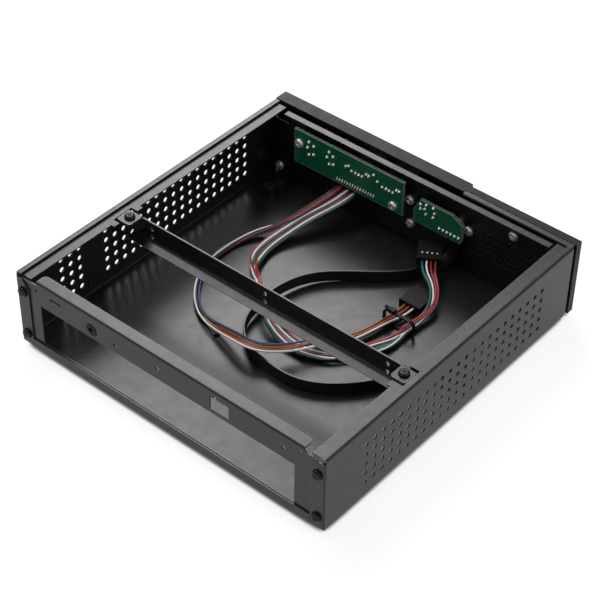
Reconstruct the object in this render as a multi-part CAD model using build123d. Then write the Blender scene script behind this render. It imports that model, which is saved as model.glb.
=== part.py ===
from build123d import *
import math
import os

# Thin computer case for a mini-ITX board, with its lid off. Sizes are in millimetres.
# Pieces are drawn with X across the case from its middle, Y back from the front face
# and Z up from the underside of the sheet metal, and are moved to the feet at the end.

# Case, as wide as the port opening and its two margins
OPENING_WIDTH = 158.75
OPENING_MARGIN = 16.475
CASE_WIDTH = OPENING_WIDTH + 2 * OPENING_MARGIN
CASE_DEPTH = 198.7
CASE_HEIGHT = 44.5
SHEET = 0.8
BEND = 0.8
SEAM = 0.3
HALF = CASE_WIDTH / 2
INSIDE = HALF - SHEET

# Outer shell
WALL_FRONT = 9.3
RIM_WIDTH = 3.2
CORNER_CUT = 2.4
TAB_REACH = 8.15
TAB_TOP = 42.1
TAB_RUN = 4.0
TAB_CUT_X = 4.2
TAB_CUT_Z = 5.7
LIP_HEIGHT = 5.7
STRIP_LENGTH = 65.2
STRIP_WIDTH = 3.0
STRIP_DROP = 3.0
STRIP_LEAD = 2.1
FLOOR_HOLE = (25.5, 134.7)
FLOOR_HOLE_RADIUS = 1.75

# Vent holes in both side walls
VENT_COLUMNS = 23
VENT_ROWS = 5
VENT_PITCH_Z = 6.1
VENT_FIRST_Y = 34.7
VENT_LAST_BACK = 28.6
VENT_PITCH_Y = (CASE_DEPTH - VENT_FIRST_Y - VENT_LAST_BACK) / (VENT_COLUMNS - 1)
VENT_TOP_Z = 33.4
VENT_RADIUS = 1.65

# Ledges along the side walls
RAIL_STEP = 1.3
RAIL_WIDTH = 8.0
RAIL_LEG = 6.7
SEAT_DEPTH = 11.0
SEAT_LAP = 1.2
SEAT_REACH = 3.4
SEAT_BEND = 0.3
LUG_REACH = 2.0
LUG_LENGTH = 3.6
FIT = 0.2

# Cross bar
BAR_Y = 127.0
BAR_HEIGHT = 12.6
BAR_FOOT = 5.3
BAR_FOOT_DROP = 2.0
BAR_BEND = 2.6
BAR_SCREW_INSET = 10.25
BAR_HALF_SPAN = HALF - BAR_SCREW_INSET
BAR_SHIFT = -1.0
EAR_WIDTH = 8.8
EAR_LENGTH = 10.2
EAR_SCREW_BACK = 5.2
EAR_DROP = 2.4
EAR_ROUND = 1.6
BAR_SCREW_LENGTH = 3.2
BAR_HOLE_INSET = 21.85
BAR_HOLE_X = (BAR_HOLE_INSET - HALF, 0.0, HALF - BAR_HOLE_INSET)
BAR_HOLE_DROPS = (4.75, 9.6)
BAR_HOLE_RADIUS = 1.2

# Stiffening plate on the left wall
STIFFENER_Y = (142.3, 157.5)
STIFFENER_Z = (3.0, 36.2)
STIFFENER_TAPER = 4.2
STIFFENER_TAPER_Z = (13.0, 18.0)

# Rear panel
FLANGE_REACH = 7.4
FLANGE_LEFT = HALF - 13.25
FLANGE_RIGHT = HALF - 12.55
FLANGE_ROUND = 2.5
OPENING_HEIGHT = 24.4
OPENING_CENTRE = 1.44
OPENING_BOTTOM = 6.05
BOTTOM_FLANGE = 6.5
CORNER_SCREW_X = HALF - 4.35
CORNER_SCREW_Z = (7.2, 33.9)
PANEL_HOLES = (
    (HALF - 12.95, 38.5, 0.9), (30.9, 35.0, 1.3), (4.0, 37.1, 1.2),
    (24.25 - HALF, 36.6, 1.2), (15.25 - HALF, 40.0, 1.0),
)
PANEL_SLOT = (70.0, 38.2, 7.4, 2.0)
PANEL_WINDOW = (-33.9, 36.6, 11.4, 7.3)
WINDOW_NOTCH = (-31.3, 1.6)
CABLE_HOLE = (46.1, 35.7, 3.75)
GROMMET_BORE = 1.6
GROMMET_LIP = 0.9
GROMMET_PROUD = 1.5

# Front sheet
FRONT_Y = 12.5
FRONT_FLANGE = 4.4
FRONT_LEFT = HALF - 13.05
FRONT_RIGHT = HALF - 9.75
FRONT_FOOT = 3.0

# Bezel
BEZEL_DEPTH = 8.3
BEZEL_WALL = 2.0
BEZEL_STEP = -0.3015 * HALF
RECESS = 2.4
RECESS_DEPTH = 4.2
BEZEL_ROUND = 0.8
BOSS_RADIUS = 3.0
GRILLE_MARGIN = 13.0
GRILLE_CENTRE = (BEZEL_STEP - 32.5, 24.0)
GRILLE_COLUMNS = 11
GRILLE_ROWS = 5
GRILLE_RADIUS = 1.2

# Screws
SCREW_HEAD_RADIUS = 2.8
SCREW_HEAD_HEIGHT = 1.7
SCREW_RADIUS = 1.45
SCREW_LENGTH = 6.0
SCREW_PLAY = 0.15
CROSS_WIDTH = 0.7
CROSS_DEPTH = 0.9
CROSS_REACH = 3.1
HEAD_EDGE = 0.68
BEZEL_SCREWS = ((0.3, 27.1), (-37.1, 26.4), (-63.7, 37.4), (-1.0, 12.7), (HALF - 7.35, 6.0))

# Boards behind the front sheet
BOARD = 1.6
BOARD_GAP = 3.9
IO_BOARD_X = (1.0, 73.9)
IO_BOARD_Z = (19.5, 40.5)
IO_SCREWS = ((70.3, 32.4), (7.0, 23.0))
SPACER_RADIUS = 2.6
POWER_BOARD = ((-6.3, 20.4), (-36.0, 20.4), (-37.2, 23.7), (-36.8, 32.0), (-30.2, 35.7), (-10.2, 35.8), (-6.3, 28.6))
POWER_SPACERS = ((-10.0, 23.8), (-31.0, 29.0))
USB_X = (32.0, 11.5)
USB_Z = 32.5
USB_SIZE = (13.1, 5.8)
USB_WALL = 0.4
USB_FRONT = 1.0
USB_ROUND = 0.6
TONGUE_SIZE = (11.2, 1.8)
TONGUE_DROP = 0.7
TONGUE_FRONT = 1.4
TONGUE_BASE = 4.0
JACK_X = (63.9, 50.2)
JACK_Z = 32.0
JACK_NOSE = 3.0
JACK_BORE = 1.8
JACK_BODY = (7.0, 10.0)
PORT_PLAY = 0.3
HEADER_X = (19.6, 46.4)
HEADER_Z = (14.6, 23.2)

# Power button, switch and lamp
BUTTON_X = BEZEL_STEP + 14.4
BUTTON_Z = 30.2
BUTTON_RADIUS = 4.5
BUTTON_PROUD = 0.6
BUTTON_TRAVEL = 0.8
CAP_ROUND = 0.4
COLLAR_WIDTH = 1.1
COLLAR_THICKNESS = 1.0
STEM_RADIUS = 1.9
SWITCH_SIZE = 6.2
SWITCH_WALL = 0.7
PLUNGER_RADIUS = 1.6
LAMP_X = BEZEL_STEP + 4.9
LAMP_RADIUS = 1.5
LAMP_BODY = (3.2, 1.2)

# Board supports and feet
BOARD_PITCH_X = OPENING_WIDTH - 1.27
REAR_RIGHT_BACK = 12.2
REAR_LEFT_BACK = 35.05
FRONT_HOLES_Y = 31.6
STANDOFF_HEIGHT = 6.0
STANDOFF_RADIUS = 2.75
STANDOFF_BORE = 1.25
FOOT_RADIUS = 6.5
FOOT_HEIGHT = 2.5
FOOT_EDGE = 0.6
FOOT_INSET = 26.0

# Cords on the floor
USB_LOOM = 4.2
AUDIO_LOOM = 3.8
RIBBON_WIDTH = 6.5
RIBBON_THICKNESS = 1.2
RIBBON_EXIT = (-30.6, 15.4)
SOCKET_X = (-34.2, -21.8)
SOCKET_Z = (20.9, 24.6)
CORD_ARC = 0.45
DROP_LEAD = 17.0
DROP_RUN_OUT = 9.0
DROP_STEPS = 8
PLUG_SIZE = (13.0, 14.0, 5.0)
PLUG_EDGE = 0.4
PIN_PITCH = 2.54
PIN_HOLE = 1.2
PIN_HOLE_DEPTH = 3.0
USB_PLUG_CENTRE = (-22.5, 25.0, 10.9)
USB_PLUG_TURN = 32.7
AUDIO_PLUG_CENTRE = (-35.0, 51.0, 3.4)
RIBBON_PLUG_TURN = -40.0
TIE_CENTRE = (-39.0, 71.8)
TIE_SIZE = (19.2, 9.0)
TIE_CORNER = 3.0
TIE_BAND = 1.8
TIE_THICKNESS = 0.9
TIE_HEAD = (3.2, 2.8, 2.2)
TIE_HEAD_X = 4.2
TIE_TAIL = (3.4, 1.6, 0.8)
TIE_TAIL_TILT = 14.0

USB_ROUTE = (
    (35.0, 17.2, 16.9), (35.0, 20.8, 16.9), (36.0, 26.4, 15.9), (38.9, 32.0, 13.4), (42.8, 38.6, 10.6),
    (46.4, 46.4, 7.8), (49.1, 56.2, 5.2), (50.6, 64.8, 3.7), (50.0, 74.3, 3.2), (45.5, 83.9, 4.4),
    (38.0, 92.4, 7.4), (29.4, 99.4, 10.0), (18.2, 108.6, 10.0), (10.3, 113.9, 7.2), (1.6, 115.4, 4.2),
    (-6.2, 116.6, 3.1), (-14.9, 116.7, 3.1), (-23.8, 113.7, 3.1), (-30.6, 108.7, 3.1), (-36.2, 101.2, 3.2),
    (-39.9, 92.6, 3.2), (-44.0, 83.8, 3.6), (-44.9, 72.0, 4.1), (-45.5, 61.1, 4.3), (-45.2, 53.0, 5.6),
    (-42.2, 46.6, 8.8), (-36.9, 41.6, 10.7), (-29.96, 36.61, 10.9),
)
AUDIO_ROUTE = (
    (42.8, 17.2, 16.9), (42.8, 20.8, 16.9), (43.5, 26.4, 15.7), (46.0, 32.8, 13.2), (48.8, 39.8, 10.6),
    (51.8, 48.2, 8.0), (56.7, 57.0, 5.4), (61.6, 64.0, 3.6), (65.0, 74.0, 2.8), (66.3, 84.6, 2.8),
    (65.4, 95.0, 2.8), (61.6, 107.4, 2.8), (53.5, 119.6, 2.8), (43.7, 127.8, 2.8), (34.6, 131.3, 3.2),
    (25.1, 133.1, 5.0), (14.8, 135.3, 8.2), (4.2, 137.0, 10.5), (-3.4, 134.9, 10.5), (-9.5, 128.5, 9.4),
    (-14.6, 121.0, 8.4), (-18.6, 112.4, 7.6), (-23.6, 103.0, 5.2), (-28.6, 93.4, 3.8), (-31.5, 83.1, 3.8),
    (-33.1, 73.4, 3.9), (-35.0, 65.4, 3.4),
)
RIBBON_ROUTE = (
    (-24.2, 28.3), (-21.6, 35.9), (-15.7, 44.1), (-5.7, 52.8), (3.9, 60.6), (13.4, 70.0), (19.0, 80.4),
    (21.6, 92.6), (21.9, 106.0), (19.8, 118.2), (15.4, 126.6), (8.7, 132.2), (0.4, 135.9), (-8.8, 137.3),
    (-18.4, 138.2), (-28.6, 137.2), (-38.4, 132.6), (-46.4, 126.1), (-53.4, 118.5), (-59.6, 109.2),
    (-63.4, 98.6), (-67.4, 90.2), (-72.0, 84.6),
)

# Places that follow from the sizes above
FLOOR = SHEET
PANEL_OUT = CASE_DEPTH - SHEET
PANEL_IN = PANEL_OUT - SHEET
FRONT_BACK = FRONT_Y + SHEET
BOARD_FRONT = FRONT_BACK + BOARD_GAP
BOARD_BACK = BOARD_FRONT + BOARD
RAIL_TOP = CASE_HEIGHT - RAIL_STEP
RAIL_FRONT = WALL_FRONT - STRIP_LEAD + STRIP_WIDTH + SEAM
RAIL_EDGE = INSIDE - RAIL_WIDTH
BAR_TOP = RAIL_TOP - FIT
STEM_BACK = FRONT_BACK - BUTTON_TRAVEL
SEAT_TOP = BAR_TOP - SHEET
TAB_EDGE = HALF - TAB_REACH
SIDE_PLAY = 0.15
BORE = SCREW_RADIUS + SCREW_PLAY


def block(x, y, z):
    """A square-edged block, given as a pair of limits on each axis."""
    spans = (x, y, z)
    centre = [(low + high) / 2 for low, high in spans]
    return Pos(*centre) * Box(*[high - low for low, high in spans])


def rod(x, z, radius, y):
    """A round rod along Y between two depths."""
    return Pos(x, (y[0] + y[1]) / 2, z) * Rot(90, 0, 0) * Cylinder(radius, y[1] - y[0])


def post(x, y, radius, z):
    """A round post along Z between two heights."""
    return Pos(x, y, (z[0] + z[1]) / 2) * Cylinder(radius, z[1] - z[0])


def folded(points, plane, start, end, radius=BEND):
    """A strip of sheet folded along a line of points and run from start to end."""
    section = trace(FilletPolyline(*points, radius=radius), SHEET)
    if plane == "XZ":
        return extrude(Plane.XZ.offset(-start) * section, start - end)
    if plane == "YZ":
        return extrude(Plane.YZ.offset(start) * section, end - start)
    return extrude(Plane.XY.offset(start) * section, end - start)


def plate(points, plane, amount):
    """A flat plate with its outline drawn in a plane, standing out along the plane's normal."""
    return extrude(plane * Polygon(*points, align=None), amount, dir=plane.z_dir)


def pan_screw(length):
    """A pan head screw with a cross recess, its head standing up from the XY plane."""
    head = Pos(0, 0, SCREW_HEAD_HEIGHT / 2) * Cylinder(SCREW_HEAD_RADIUS, SCREW_HEAD_HEIGHT)
    head = chamfer(head.edges().sort_by(Axis.Z)[-1], HEAD_EDGE)
    recess = Box(CROSS_REACH, CROSS_WIDTH, CROSS_DEPTH * 2) + Box(CROSS_WIDTH, CROSS_REACH, CROSS_DEPTH * 2)
    return head - Pos(0, 0, SCREW_HEAD_HEIGHT) * recess + post(0, 0, SCREW_RADIUS, (-length, 0))


def screws_along_y(places, y, length=SCREW_LENGTH):
    """Equal screws whose heads sit on a face at depth y and look to the rear."""
    return [Pos(x, y, z) * Rot(-90, 0, 0) * pan_screw(length) for x, z in places]


def bores_along_y(places, radius, y):
    """Round holes along Y at each place."""
    return [rod(x, z, radius, y) for x, z in places]


def corner_places():
    """The four screws that join the rear tabs to the rear panel."""
    return [(side * CORNER_SCREW_X, z) for side in (-1, 1) for z in CORNER_SCREW_Z]


def vent_cutters():
    """Rows of vent holes, long enough to pass through both side walls."""
    middle_y = VENT_FIRST_Y + VENT_PITCH_Y * (VENT_COLUMNS - 1) / 2
    middle_z = VENT_TOP_Z - VENT_PITCH_Z * (VENT_ROWS - 1) / 2
    holes = GridLocations(VENT_PITCH_Y, VENT_PITCH_Z, VENT_COLUMNS, VENT_ROWS) * RegularPolygon(VENT_RADIUS, 8)
    plane = Plane.YZ.offset(-HALF - 1)
    return extrude(plane * Pos(middle_y, middle_z) * Sketch(holes), CASE_WIDTH + 2)


def outer_shell():
    """Floor, side walls, rims, rear tabs, rear lip and front strip, folded from one sheet."""
    wall = HALF - SHEET / 2
    top = CASE_HEIGHT - SHEET / 2
    rim = HALF - RIM_WIDTH
    section = [(rim, top), (wall, top), (wall, SHEET / 2), (-wall, SHEET / 2), (-wall, top), (-rim, top)]
    shell = folded(section, "XZ", WALL_FRONT, PANEL_OUT)
    bend_out = BEND + SHEET / 2
    back = CASE_DEPTH - SHEET / 2
    tab = folded([(wall, PANEL_IN - TAB_RUN), (wall, back), (TAB_EDGE, back)], "XY", bend_out, TAB_TOP)
    corner = [(TAB_EDGE, TAB_TOP), (TAB_EDGE + TAB_CUT_X, TAB_TOP), (TAB_EDGE, TAB_TOP - TAB_CUT_Z)]
    tab -= plate(corner, Plane.XZ.offset(-CASE_DEPTH - 1), SHEET * 3)
    shell += tab
    shell += mirror(tab, about=Plane.YZ)
    lip_half = TAB_EDGE - SEAM
    shell += folded([(PANEL_IN - TAB_RUN, SHEET / 2), (back, SHEET / 2), (back, LIP_HEIGHT)], "YZ", -lip_half, lip_half)
    strip_front = WALL_FRONT - STRIP_LEAD
    strip_back = strip_front + STRIP_WIDTH - SHEET / 2
    strip = [(strip_front, top), (strip_back, top), (strip_back, CASE_HEIGHT - STRIP_DROP)]
    shell += folded(strip, "YZ", bend_out - HALF, bend_out - HALF + STRIP_LENGTH)
    shell -= vent_cutters()
    shell -= bores_along_y(corner_places(), BORE, (PANEL_OUT - 1, CASE_DEPTH + 1))
    shell -= post(*FLOOR_HOLE, FLOOR_HOLE_RADIUS, (-1, FLOOR + 1))
    shell -= [post(x, y, STANDOFF_BORE + SCREW_PLAY, (-1, FLOOR + 1)) for x, y in board_holes()]
    cut = [(WALL_FRONT, 0), (WALL_FRONT + CORNER_CUT, 0), (WALL_FRONT, CORNER_CUT)]
    for start in (-HALF - 1, HALF - bend_out):
        shell -= plate(cut, Plane.YZ.offset(start), bend_out + 1)
    return shell


def rear_panel():
    """Folded rear panel with the port opening, a top flange and a foot on the floor."""
    plane = PANEL_IN + SHEET / 2
    top = CASE_HEIGHT - SHEET / 2
    foot = FLOOR + SHEET / 2
    fold = [(CASE_DEPTH - FLANGE_REACH, top), (plane, top), (plane, foot), (PANEL_IN - BOTTOM_FLANGE, foot)]
    panel = folded(fold, "YZ", -FLANGE_RIGHT, FLANGE_LEFT)
    tips = panel.edges().filter_by(Axis.Z).filter_by(lambda e: e.center().Z > top - 1 and e.length < SHEET * 2)
    panel = fillet(tips.sort_by(Axis.Y)[:2], FLANGE_ROUND)
    side = INSIDE - BEND + SHEET / 2
    wings = block((-side, side), (PANEL_IN, PANEL_OUT), (FLOOR + SHEET + BEND, TAB_TOP))
    panel += wings
    opening_x = (OPENING_CENTRE - OPENING_WIDTH / 2, OPENING_CENTRE + OPENING_WIDTH / 2)
    through = (PANEL_IN - 1, PANEL_OUT + 1)
    panel -= block(opening_x, through, (OPENING_BOTTOM, OPENING_BOTTOM + OPENING_HEIGHT))
    panel -= [rod(x, z, radius, through) for x, z, radius in PANEL_HOLES + (CABLE_HOLE,)]
    for x, z, width, height in (PANEL_SLOT, PANEL_WINDOW):
        panel -= block((x - width / 2, x + width / 2), through, (z - height / 2, z + height / 2))
    notch_x, notch = WINDOW_NOTCH
    notch_z = PANEL_WINDOW[1] + PANEL_WINDOW[3] / 2
    panel -= block((notch_x - notch / 2, notch_x + notch / 2), through, (notch_z - 1, notch_z + notch))
    panel -= bores_along_y(corner_places(), BORE, through)
    return panel


def cable_hole_grommet():
    """Black grommet snapped into the round hole of the rear panel."""
    x, z, radius = CABLE_HOLE
    lip = radius + GROMMET_LIP
    middle = PANEL_IN + SHEET / 2
    back = SHEET / 2 + SEAM
    profile = [(GROMMET_BORE, -GROMMET_PROUD), (lip, -GROMMET_PROUD), (lip, -SHEET / 2), (radius, -SHEET / 2),
               (radius, SHEET / 2), (radius - 1, back), (GROMMET_BORE, back)]
    ring = revolve(Plane.XZ * Polygon(*profile, align=None), Axis.Z)
    return Pos(x, middle, z) * Rot(-90, 0, 0) * ring


def front_sheet():
    """Inner front sheet that carries the boards and the bezel."""
    plane = FRONT_Y + SHEET / 2
    top = CASE_HEIGHT - SHEET / 2
    foot = FLOOR + SHEET / 2
    fold = [(FRONT_Y + FRONT_FLANGE, top), (plane, top), (plane, foot), (FRONT_Y - FRONT_FOOT, foot)]
    sheet = folded(fold, "YZ", -FRONT_RIGHT, FRONT_LEFT)
    side = INSIDE - BEND + SHEET / 2
    wing_top = RAIL_TOP - RAIL_LEG - SEAM
    sheet += block((-side, side), (FRONT_Y, FRONT_BACK), (FLOOR + SHEET + BEND, wing_top))
    through = (FRONT_Y - 1, FRONT_BACK + 1)
    width, height = USB_SIZE
    for x in USB_X:
        window_x = (x - width / 2 - PORT_PLAY, x + width / 2 + PORT_PLAY)
        sheet -= block(window_x, through, (USB_Z - height / 2 - PORT_PLAY, USB_Z + height / 2 + PORT_PLAY))
    sheet -= [rod(x, JACK_Z, JACK_NOSE + PORT_PLAY, through) for x in JACK_X]
    sheet -= bores_along_y(BEZEL_SCREWS + IO_SCREWS, BORE, through)
    sheet -= rod(BUTTON_X, BUTTON_Z, STEM_RADIUS + PORT_PLAY * 2, through)
    sheet -= rod(LAMP_X, BUTTON_Z, LAMP_RADIUS + PORT_PLAY, through)
    pitch = (BEZEL_STEP + HALF - 2 * GRILLE_MARGIN) / (GRILLE_COLUMNS - 1)
    holes = GridLocations(pitch, pitch, GRILLE_COLUMNS, GRILLE_ROWS) * RegularPolygon(GRILLE_RADIUS, 6)
    grille = Plane.XZ.offset(-FRONT_BACK - 1) * Pos(*GRILLE_CENTRE) * Sketch(holes)
    sheet -= extrude(grille, SHEET + 2)
    return sheet


def bezel():
    """Moulded front bezel: a thick part over the ports, and a part that is set back."""
    thick = block((BEZEL_STEP, HALF), (0, BEZEL_DEPTH), (0, CASE_HEIGHT))
    thin = block((-HALF, BEZEL_STEP), (RECESS, RECESS + RECESS_DEPTH), (0, CASE_HEIGHT))
    thick = fillet(thick.faces().sort_by(Axis.Y)[0].edges(), BEZEL_ROUND)
    body = thick + thin
    inner_z = (BEZEL_WALL, CASE_HEIGHT - BEZEL_WALL)
    body -= block((BEZEL_STEP + BEZEL_WALL, HALF - BEZEL_WALL), (BEZEL_WALL, BEZEL_DEPTH + 1), inner_z)
    thin_back = RECESS + BEZEL_WALL
    body -= block((BEZEL_WALL - HALF, BEZEL_STEP), (thin_back, RECESS + RECESS_DEPTH + 1), inner_z)
    for x, z in BEZEL_SCREWS:
        start = BEZEL_WALL if x > BEZEL_STEP else thin_back
        boss = rod(x, z, BOSS_RADIUS, (start - SHEET, FRONT_Y))
        body += boss - rod(x, z, BORE, (start + 1, FRONT_Y + 1))
    through = (-1, thin_back + 1)
    width, height = USB_SIZE
    for x in USB_X:
        window_x = (x - width / 2 - PORT_PLAY, x + width / 2 + PORT_PLAY)
        body -= block(window_x, through, (USB_Z - height / 2 - PORT_PLAY, USB_Z + height / 2 + PORT_PLAY))
    body -= [rod(x, JACK_Z, JACK_NOSE + PORT_PLAY, through) for x in JACK_X]
    body -= rod(BUTTON_X, BUTTON_Z, BUTTON_RADIUS + FIT, through)
    body -= rod(LAMP_X, BUTTON_Z, LAMP_RADIUS + SCREW_PLAY, through)
    return body


def rail(side):
    """Ledge on one side wall: a leg on the wall, a flange for the lid and a seat for the bar."""
    leg = INSIDE - SHEET / 2
    flange = RAIL_TOP - SHEET / 2
    section = [(leg, RAIL_TOP - RAIL_LEG), (leg, flange), (RAIL_EDGE, flange)]
    ledge = folded(section, "XZ", RAIL_FRONT, PANEL_IN - SEAM)
    ear_x = BAR_HALF_SPAN + side * BAR_SHIFT
    seat_y = (BAR_Y + SHEET + SEAM, BAR_Y + SHEET + SEAM + SEAT_DEPTH)
    riser = ear_x + EAR_WIDTH / 2 + SEAM
    ledge -= block((RAIL_EDGE - 1, riser), (BAR_Y - SEAM * 2, seat_y[1]), (RAIL_TOP - 2 * SHEET, RAIL_TOP + 1))
    low = SEAT_TOP - SHEET / 2
    step = riser + SHEET / 2
    seat = folded([(riser + SEAT_LAP, flange), (step, flange), (step, low), (ear_x - SEAT_REACH, low)],
                  "XZ", *seat_y, radius=SEAT_BEND)
    ledge += seat
    for y in (BAR_Y - SEAM * 2 - LUG_LENGTH, seat_y[1]):
        lug_x = (RAIL_EDGE - LUG_REACH, RAIL_EDGE + 1)
        ledge += block(lug_x, (y, y + LUG_LENGTH), (RAIL_TOP - SHEET, RAIL_TOP))
    ledge -= post(ear_x, bar_screw_y(), BORE, (SEAT_TOP - 2 * SHEET, RAIL_TOP))
    return ledge if side > 0 else mirror(ledge, about=Plane.YZ)


def bar_screw_y():
    """Depth of the two screws that hold the cross bar."""
    return BAR_Y + EAR_SCREW_BACK


def cross_bar():
    """Removable bar with a sloping foot, and an ear at each end that lies on a seat of a ledge."""
    web = BAR_Y + SHEET / 2
    bottom = BAR_TOP - BAR_HEIGHT + SHEET / 2
    end = RAIL_EDGE - FIT
    foot = (BAR_Y + BAR_FOOT, bottom - BAR_FOOT_DROP)
    bar = folded([(web, BAR_TOP - BEND), (web, bottom), foot], "YZ", -end, end, radius=BAR_BEND)
    through = (BAR_Y - 1, BAR_Y + SHEET + 1)
    for x in BAR_HOLE_X:
        bar -= [rod(x, BAR_TOP - drop, BAR_HOLE_RADIUS, through) for drop in BAR_HOLE_DROPS]
    for side in (-1, 1):
        centre = side * BAR_HALF_SPAN + BAR_SHIFT
        fold = [(web, BAR_TOP - EAR_DROP), (web, BAR_TOP - SHEET / 2), (BAR_Y + EAR_LENGTH, BAR_TOP - SHEET / 2)]
        ear = folded(fold, "YZ", centre - EAR_WIDTH / 2, centre + EAR_WIDTH / 2)
        beyond = (end, HALF) if side > 0 else (-HALF, -end)
        ear -= block(beyond, (BAR_Y - 1, BAR_Y + BEND + SHEET / 2), (0, BAR_TOP + 1))
        tips = ear.edges().filter_by(Axis.Z).filter_by(lambda e: e.center().Y > BAR_Y + EAR_LENGTH - 1)
        ear = fillet(tips, EAR_ROUND)
        bar += ear
        bar -= post(centre, bar_screw_y(), BORE, (SEAT_TOP, BAR_TOP + 1))
    return bar


def bar_screws():
    """The two screws that hold the cross bar."""
    places = [Pos(side * BAR_HALF_SPAN + BAR_SHIFT, bar_screw_y(), BAR_TOP) for side in (-1, 1)]
    return [place * pan_screw(BAR_SCREW_LENGTH) for place in places]


def wall_stiffener():
    """Flat plate spot welded inside the left wall."""
    front, back = STIFFENER_Y
    low, high = STIFFENER_Z
    taper = back - STIFFENER_TAPER
    taper_low, taper_high = STIFFENER_TAPER_Z
    outline = [(front, low), (taper, low), (taper, taper_low), (back, taper_high), (back, high), (front, high)]
    return plate(outline, Plane.YZ.offset(INSIDE - SHEET), SHEET)


def board_holes():
    """Centres of the four mini-ITX fixing holes, from the port opening."""
    left = OPENING_CENTRE + BOARD_PITCH_X / 2
    right = OPENING_CENTRE - BOARD_PITCH_X / 2
    return ((right, CASE_DEPTH - REAR_RIGHT_BACK), (left, CASE_DEPTH - REAR_LEFT_BACK),
            (right, FRONT_HOLES_Y), (left, FRONT_HOLES_Y))


def board_standoffs():
    """Round threaded standoffs pressed on the floor."""
    tops = []
    for x, y in board_holes():
        body = post(x, y, STANDOFF_RADIUS, (FLOOR, FLOOR + STANDOFF_HEIGHT))
        tops.append(body - post(x, y, STANDOFF_BORE, (FLOOR - 1, FLOOR + STANDOFF_HEIGHT + 1)))
    return tops


def io_board():
    """Long upright circuit board with the front ports."""
    board = block(IO_BOARD_X, (BOARD_FRONT, BOARD_BACK), IO_BOARD_Z)
    return board - bores_along_y(IO_SCREWS, BORE, (BOARD_FRONT - 1, BOARD_BACK + 1))


def power_board():
    """Small upright circuit board with cut corners, behind the power button."""
    return plate(POWER_BOARD, Plane.XZ.offset(-BOARD_BACK), BOARD)


def spacers():
    """Round spacers between the front sheet and the two boards."""
    tubes = []
    for x, z in IO_SCREWS + POWER_SPACERS:
        tube = rod(x, z, SPACER_RADIUS, (FRONT_BACK, BOARD_FRONT))
        tubes.append(tube - rod(x, z, BORE, (FRONT_BACK - 1, BOARD_FRONT + 1)))
    return tubes


def usb_shell(x):
    """Folded metal shell of one USB port."""
    width, height = USB_SIZE
    outside = RectangleRounded(width, height, USB_ROUND)
    inside = RectangleRounded(width - 2 * USB_WALL, height - 2 * USB_WALL, USB_ROUND / 2)
    tube = extrude(Plane.XZ.offset(-BOARD_FRONT) * Pos(x, USB_Z) * outside, BOARD_FRONT - USB_FRONT)
    return tube - extrude(Plane.XZ.offset(USB_WALL - BOARD_FRONT) * Pos(x, USB_Z) * inside, BOARD_FRONT)


def usb_tongue(x):
    """Plastic tongue of one USB port, with its base filling the back of the shell."""
    width, height = USB_SIZE
    tongue_width, tongue_height = TONGUE_SIZE
    back = BOARD_FRONT - USB_WALL
    top = USB_Z + height / 2 - USB_WALL - TONGUE_DROP
    base_z = (USB_Z - height / 2 + USB_WALL, USB_Z + height / 2 - USB_WALL)
    across = (x - tongue_width / 2, x + tongue_width / 2)
    base = block(across, (back - TONGUE_BASE, back), base_z)
    return base + block(across, (USB_FRONT + TONGUE_FRONT, back - TONGUE_BASE / 2), (top - tongue_height, top))


def audio_jack(x):
    """Audio jack: a moulded body on the board and a round nose with the plug bore."""
    width, height = JACK_BODY
    body = block((x - width / 2, x + width / 2), (FRONT_BACK + SEAM, BOARD_FRONT),
                 (JACK_Z - height / 2, JACK_Z + height / 2))
    nose = rod(x, JACK_Z, JACK_NOSE, (USB_FRONT, FRONT_BACK + SEAM))
    return body + nose - rod(x, JACK_Z, JACK_BORE, (USB_FRONT - 1, BOARD_FRONT - 1))


def io_header():
    """Pin header and its socket on the front side of the long board, over the wires."""
    return block(HEADER_X, (FRONT_BACK + SEAM, BOARD_FRONT), HEADER_Z)


def power_button():
    """Round button cap with a collar behind the bezel and a stem to the switch."""
    collar = BEZEL_WALL + FIT
    cap = rod(BUTTON_X, BUTTON_Z, BUTTON_RADIUS, (-BUTTON_PROUD, collar))
    collar_back = collar + COLLAR_THICKNESS
    cap = fillet(cap.edges().sort_by(Axis.Y)[0], CAP_ROUND)
    cap += rod(BUTTON_X, BUTTON_Z, BUTTON_RADIUS + COLLAR_WIDTH, (collar, collar_back))
    return cap + rod(BUTTON_X, BUTTON_Z, STEM_RADIUS, (collar_back, STEM_BACK))


def power_switch():
    """Switch body on the small board, with a bore for its plunger."""
    half = SWITCH_SIZE / 2
    across = (BUTTON_X - half, BUTTON_X + half)
    body = block(across, (FRONT_BACK + SEAM, BOARD_FRONT), (BUTTON_Z - half, BUTTON_Z + half))
    return body - rod(BUTTON_X, BUTTON_Z, PLUNGER_RADIUS + SCREW_PLAY, (FRONT_BACK, BOARD_FRONT - SWITCH_WALL))


def switch_plunger():
    """Plunger that the stem of the button pushes into the switch."""
    inner_end = BOARD_FRONT - SWITCH_WALL - BUTTON_TRAVEL - FIT
    return rod(BUTTON_X, BUTTON_Z, PLUNGER_RADIUS, (STEM_BACK, inner_end))


def power_lamp():
    """Small lamp on the board behind the light guide."""
    width, depth = LAMP_BODY
    return Pos(LAMP_X, BOARD_FRONT - depth / 2, BUTTON_Z) * Box(width, depth, width)


def light_guide():
    """Clear rod that carries the lamp's light to the front of the bezel."""
    return rod(LAMP_X, BUTTON_Z, LAMP_RADIUS, (SEAM, BOARD_FRONT - LAMP_BODY[1]))


def ribbon_socket():
    """Socket of the flat cable on the front side of the small board."""
    return block(SOCKET_X, (FRONT_BACK + SEAM, BOARD_FRONT), SOCKET_Z)


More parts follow.
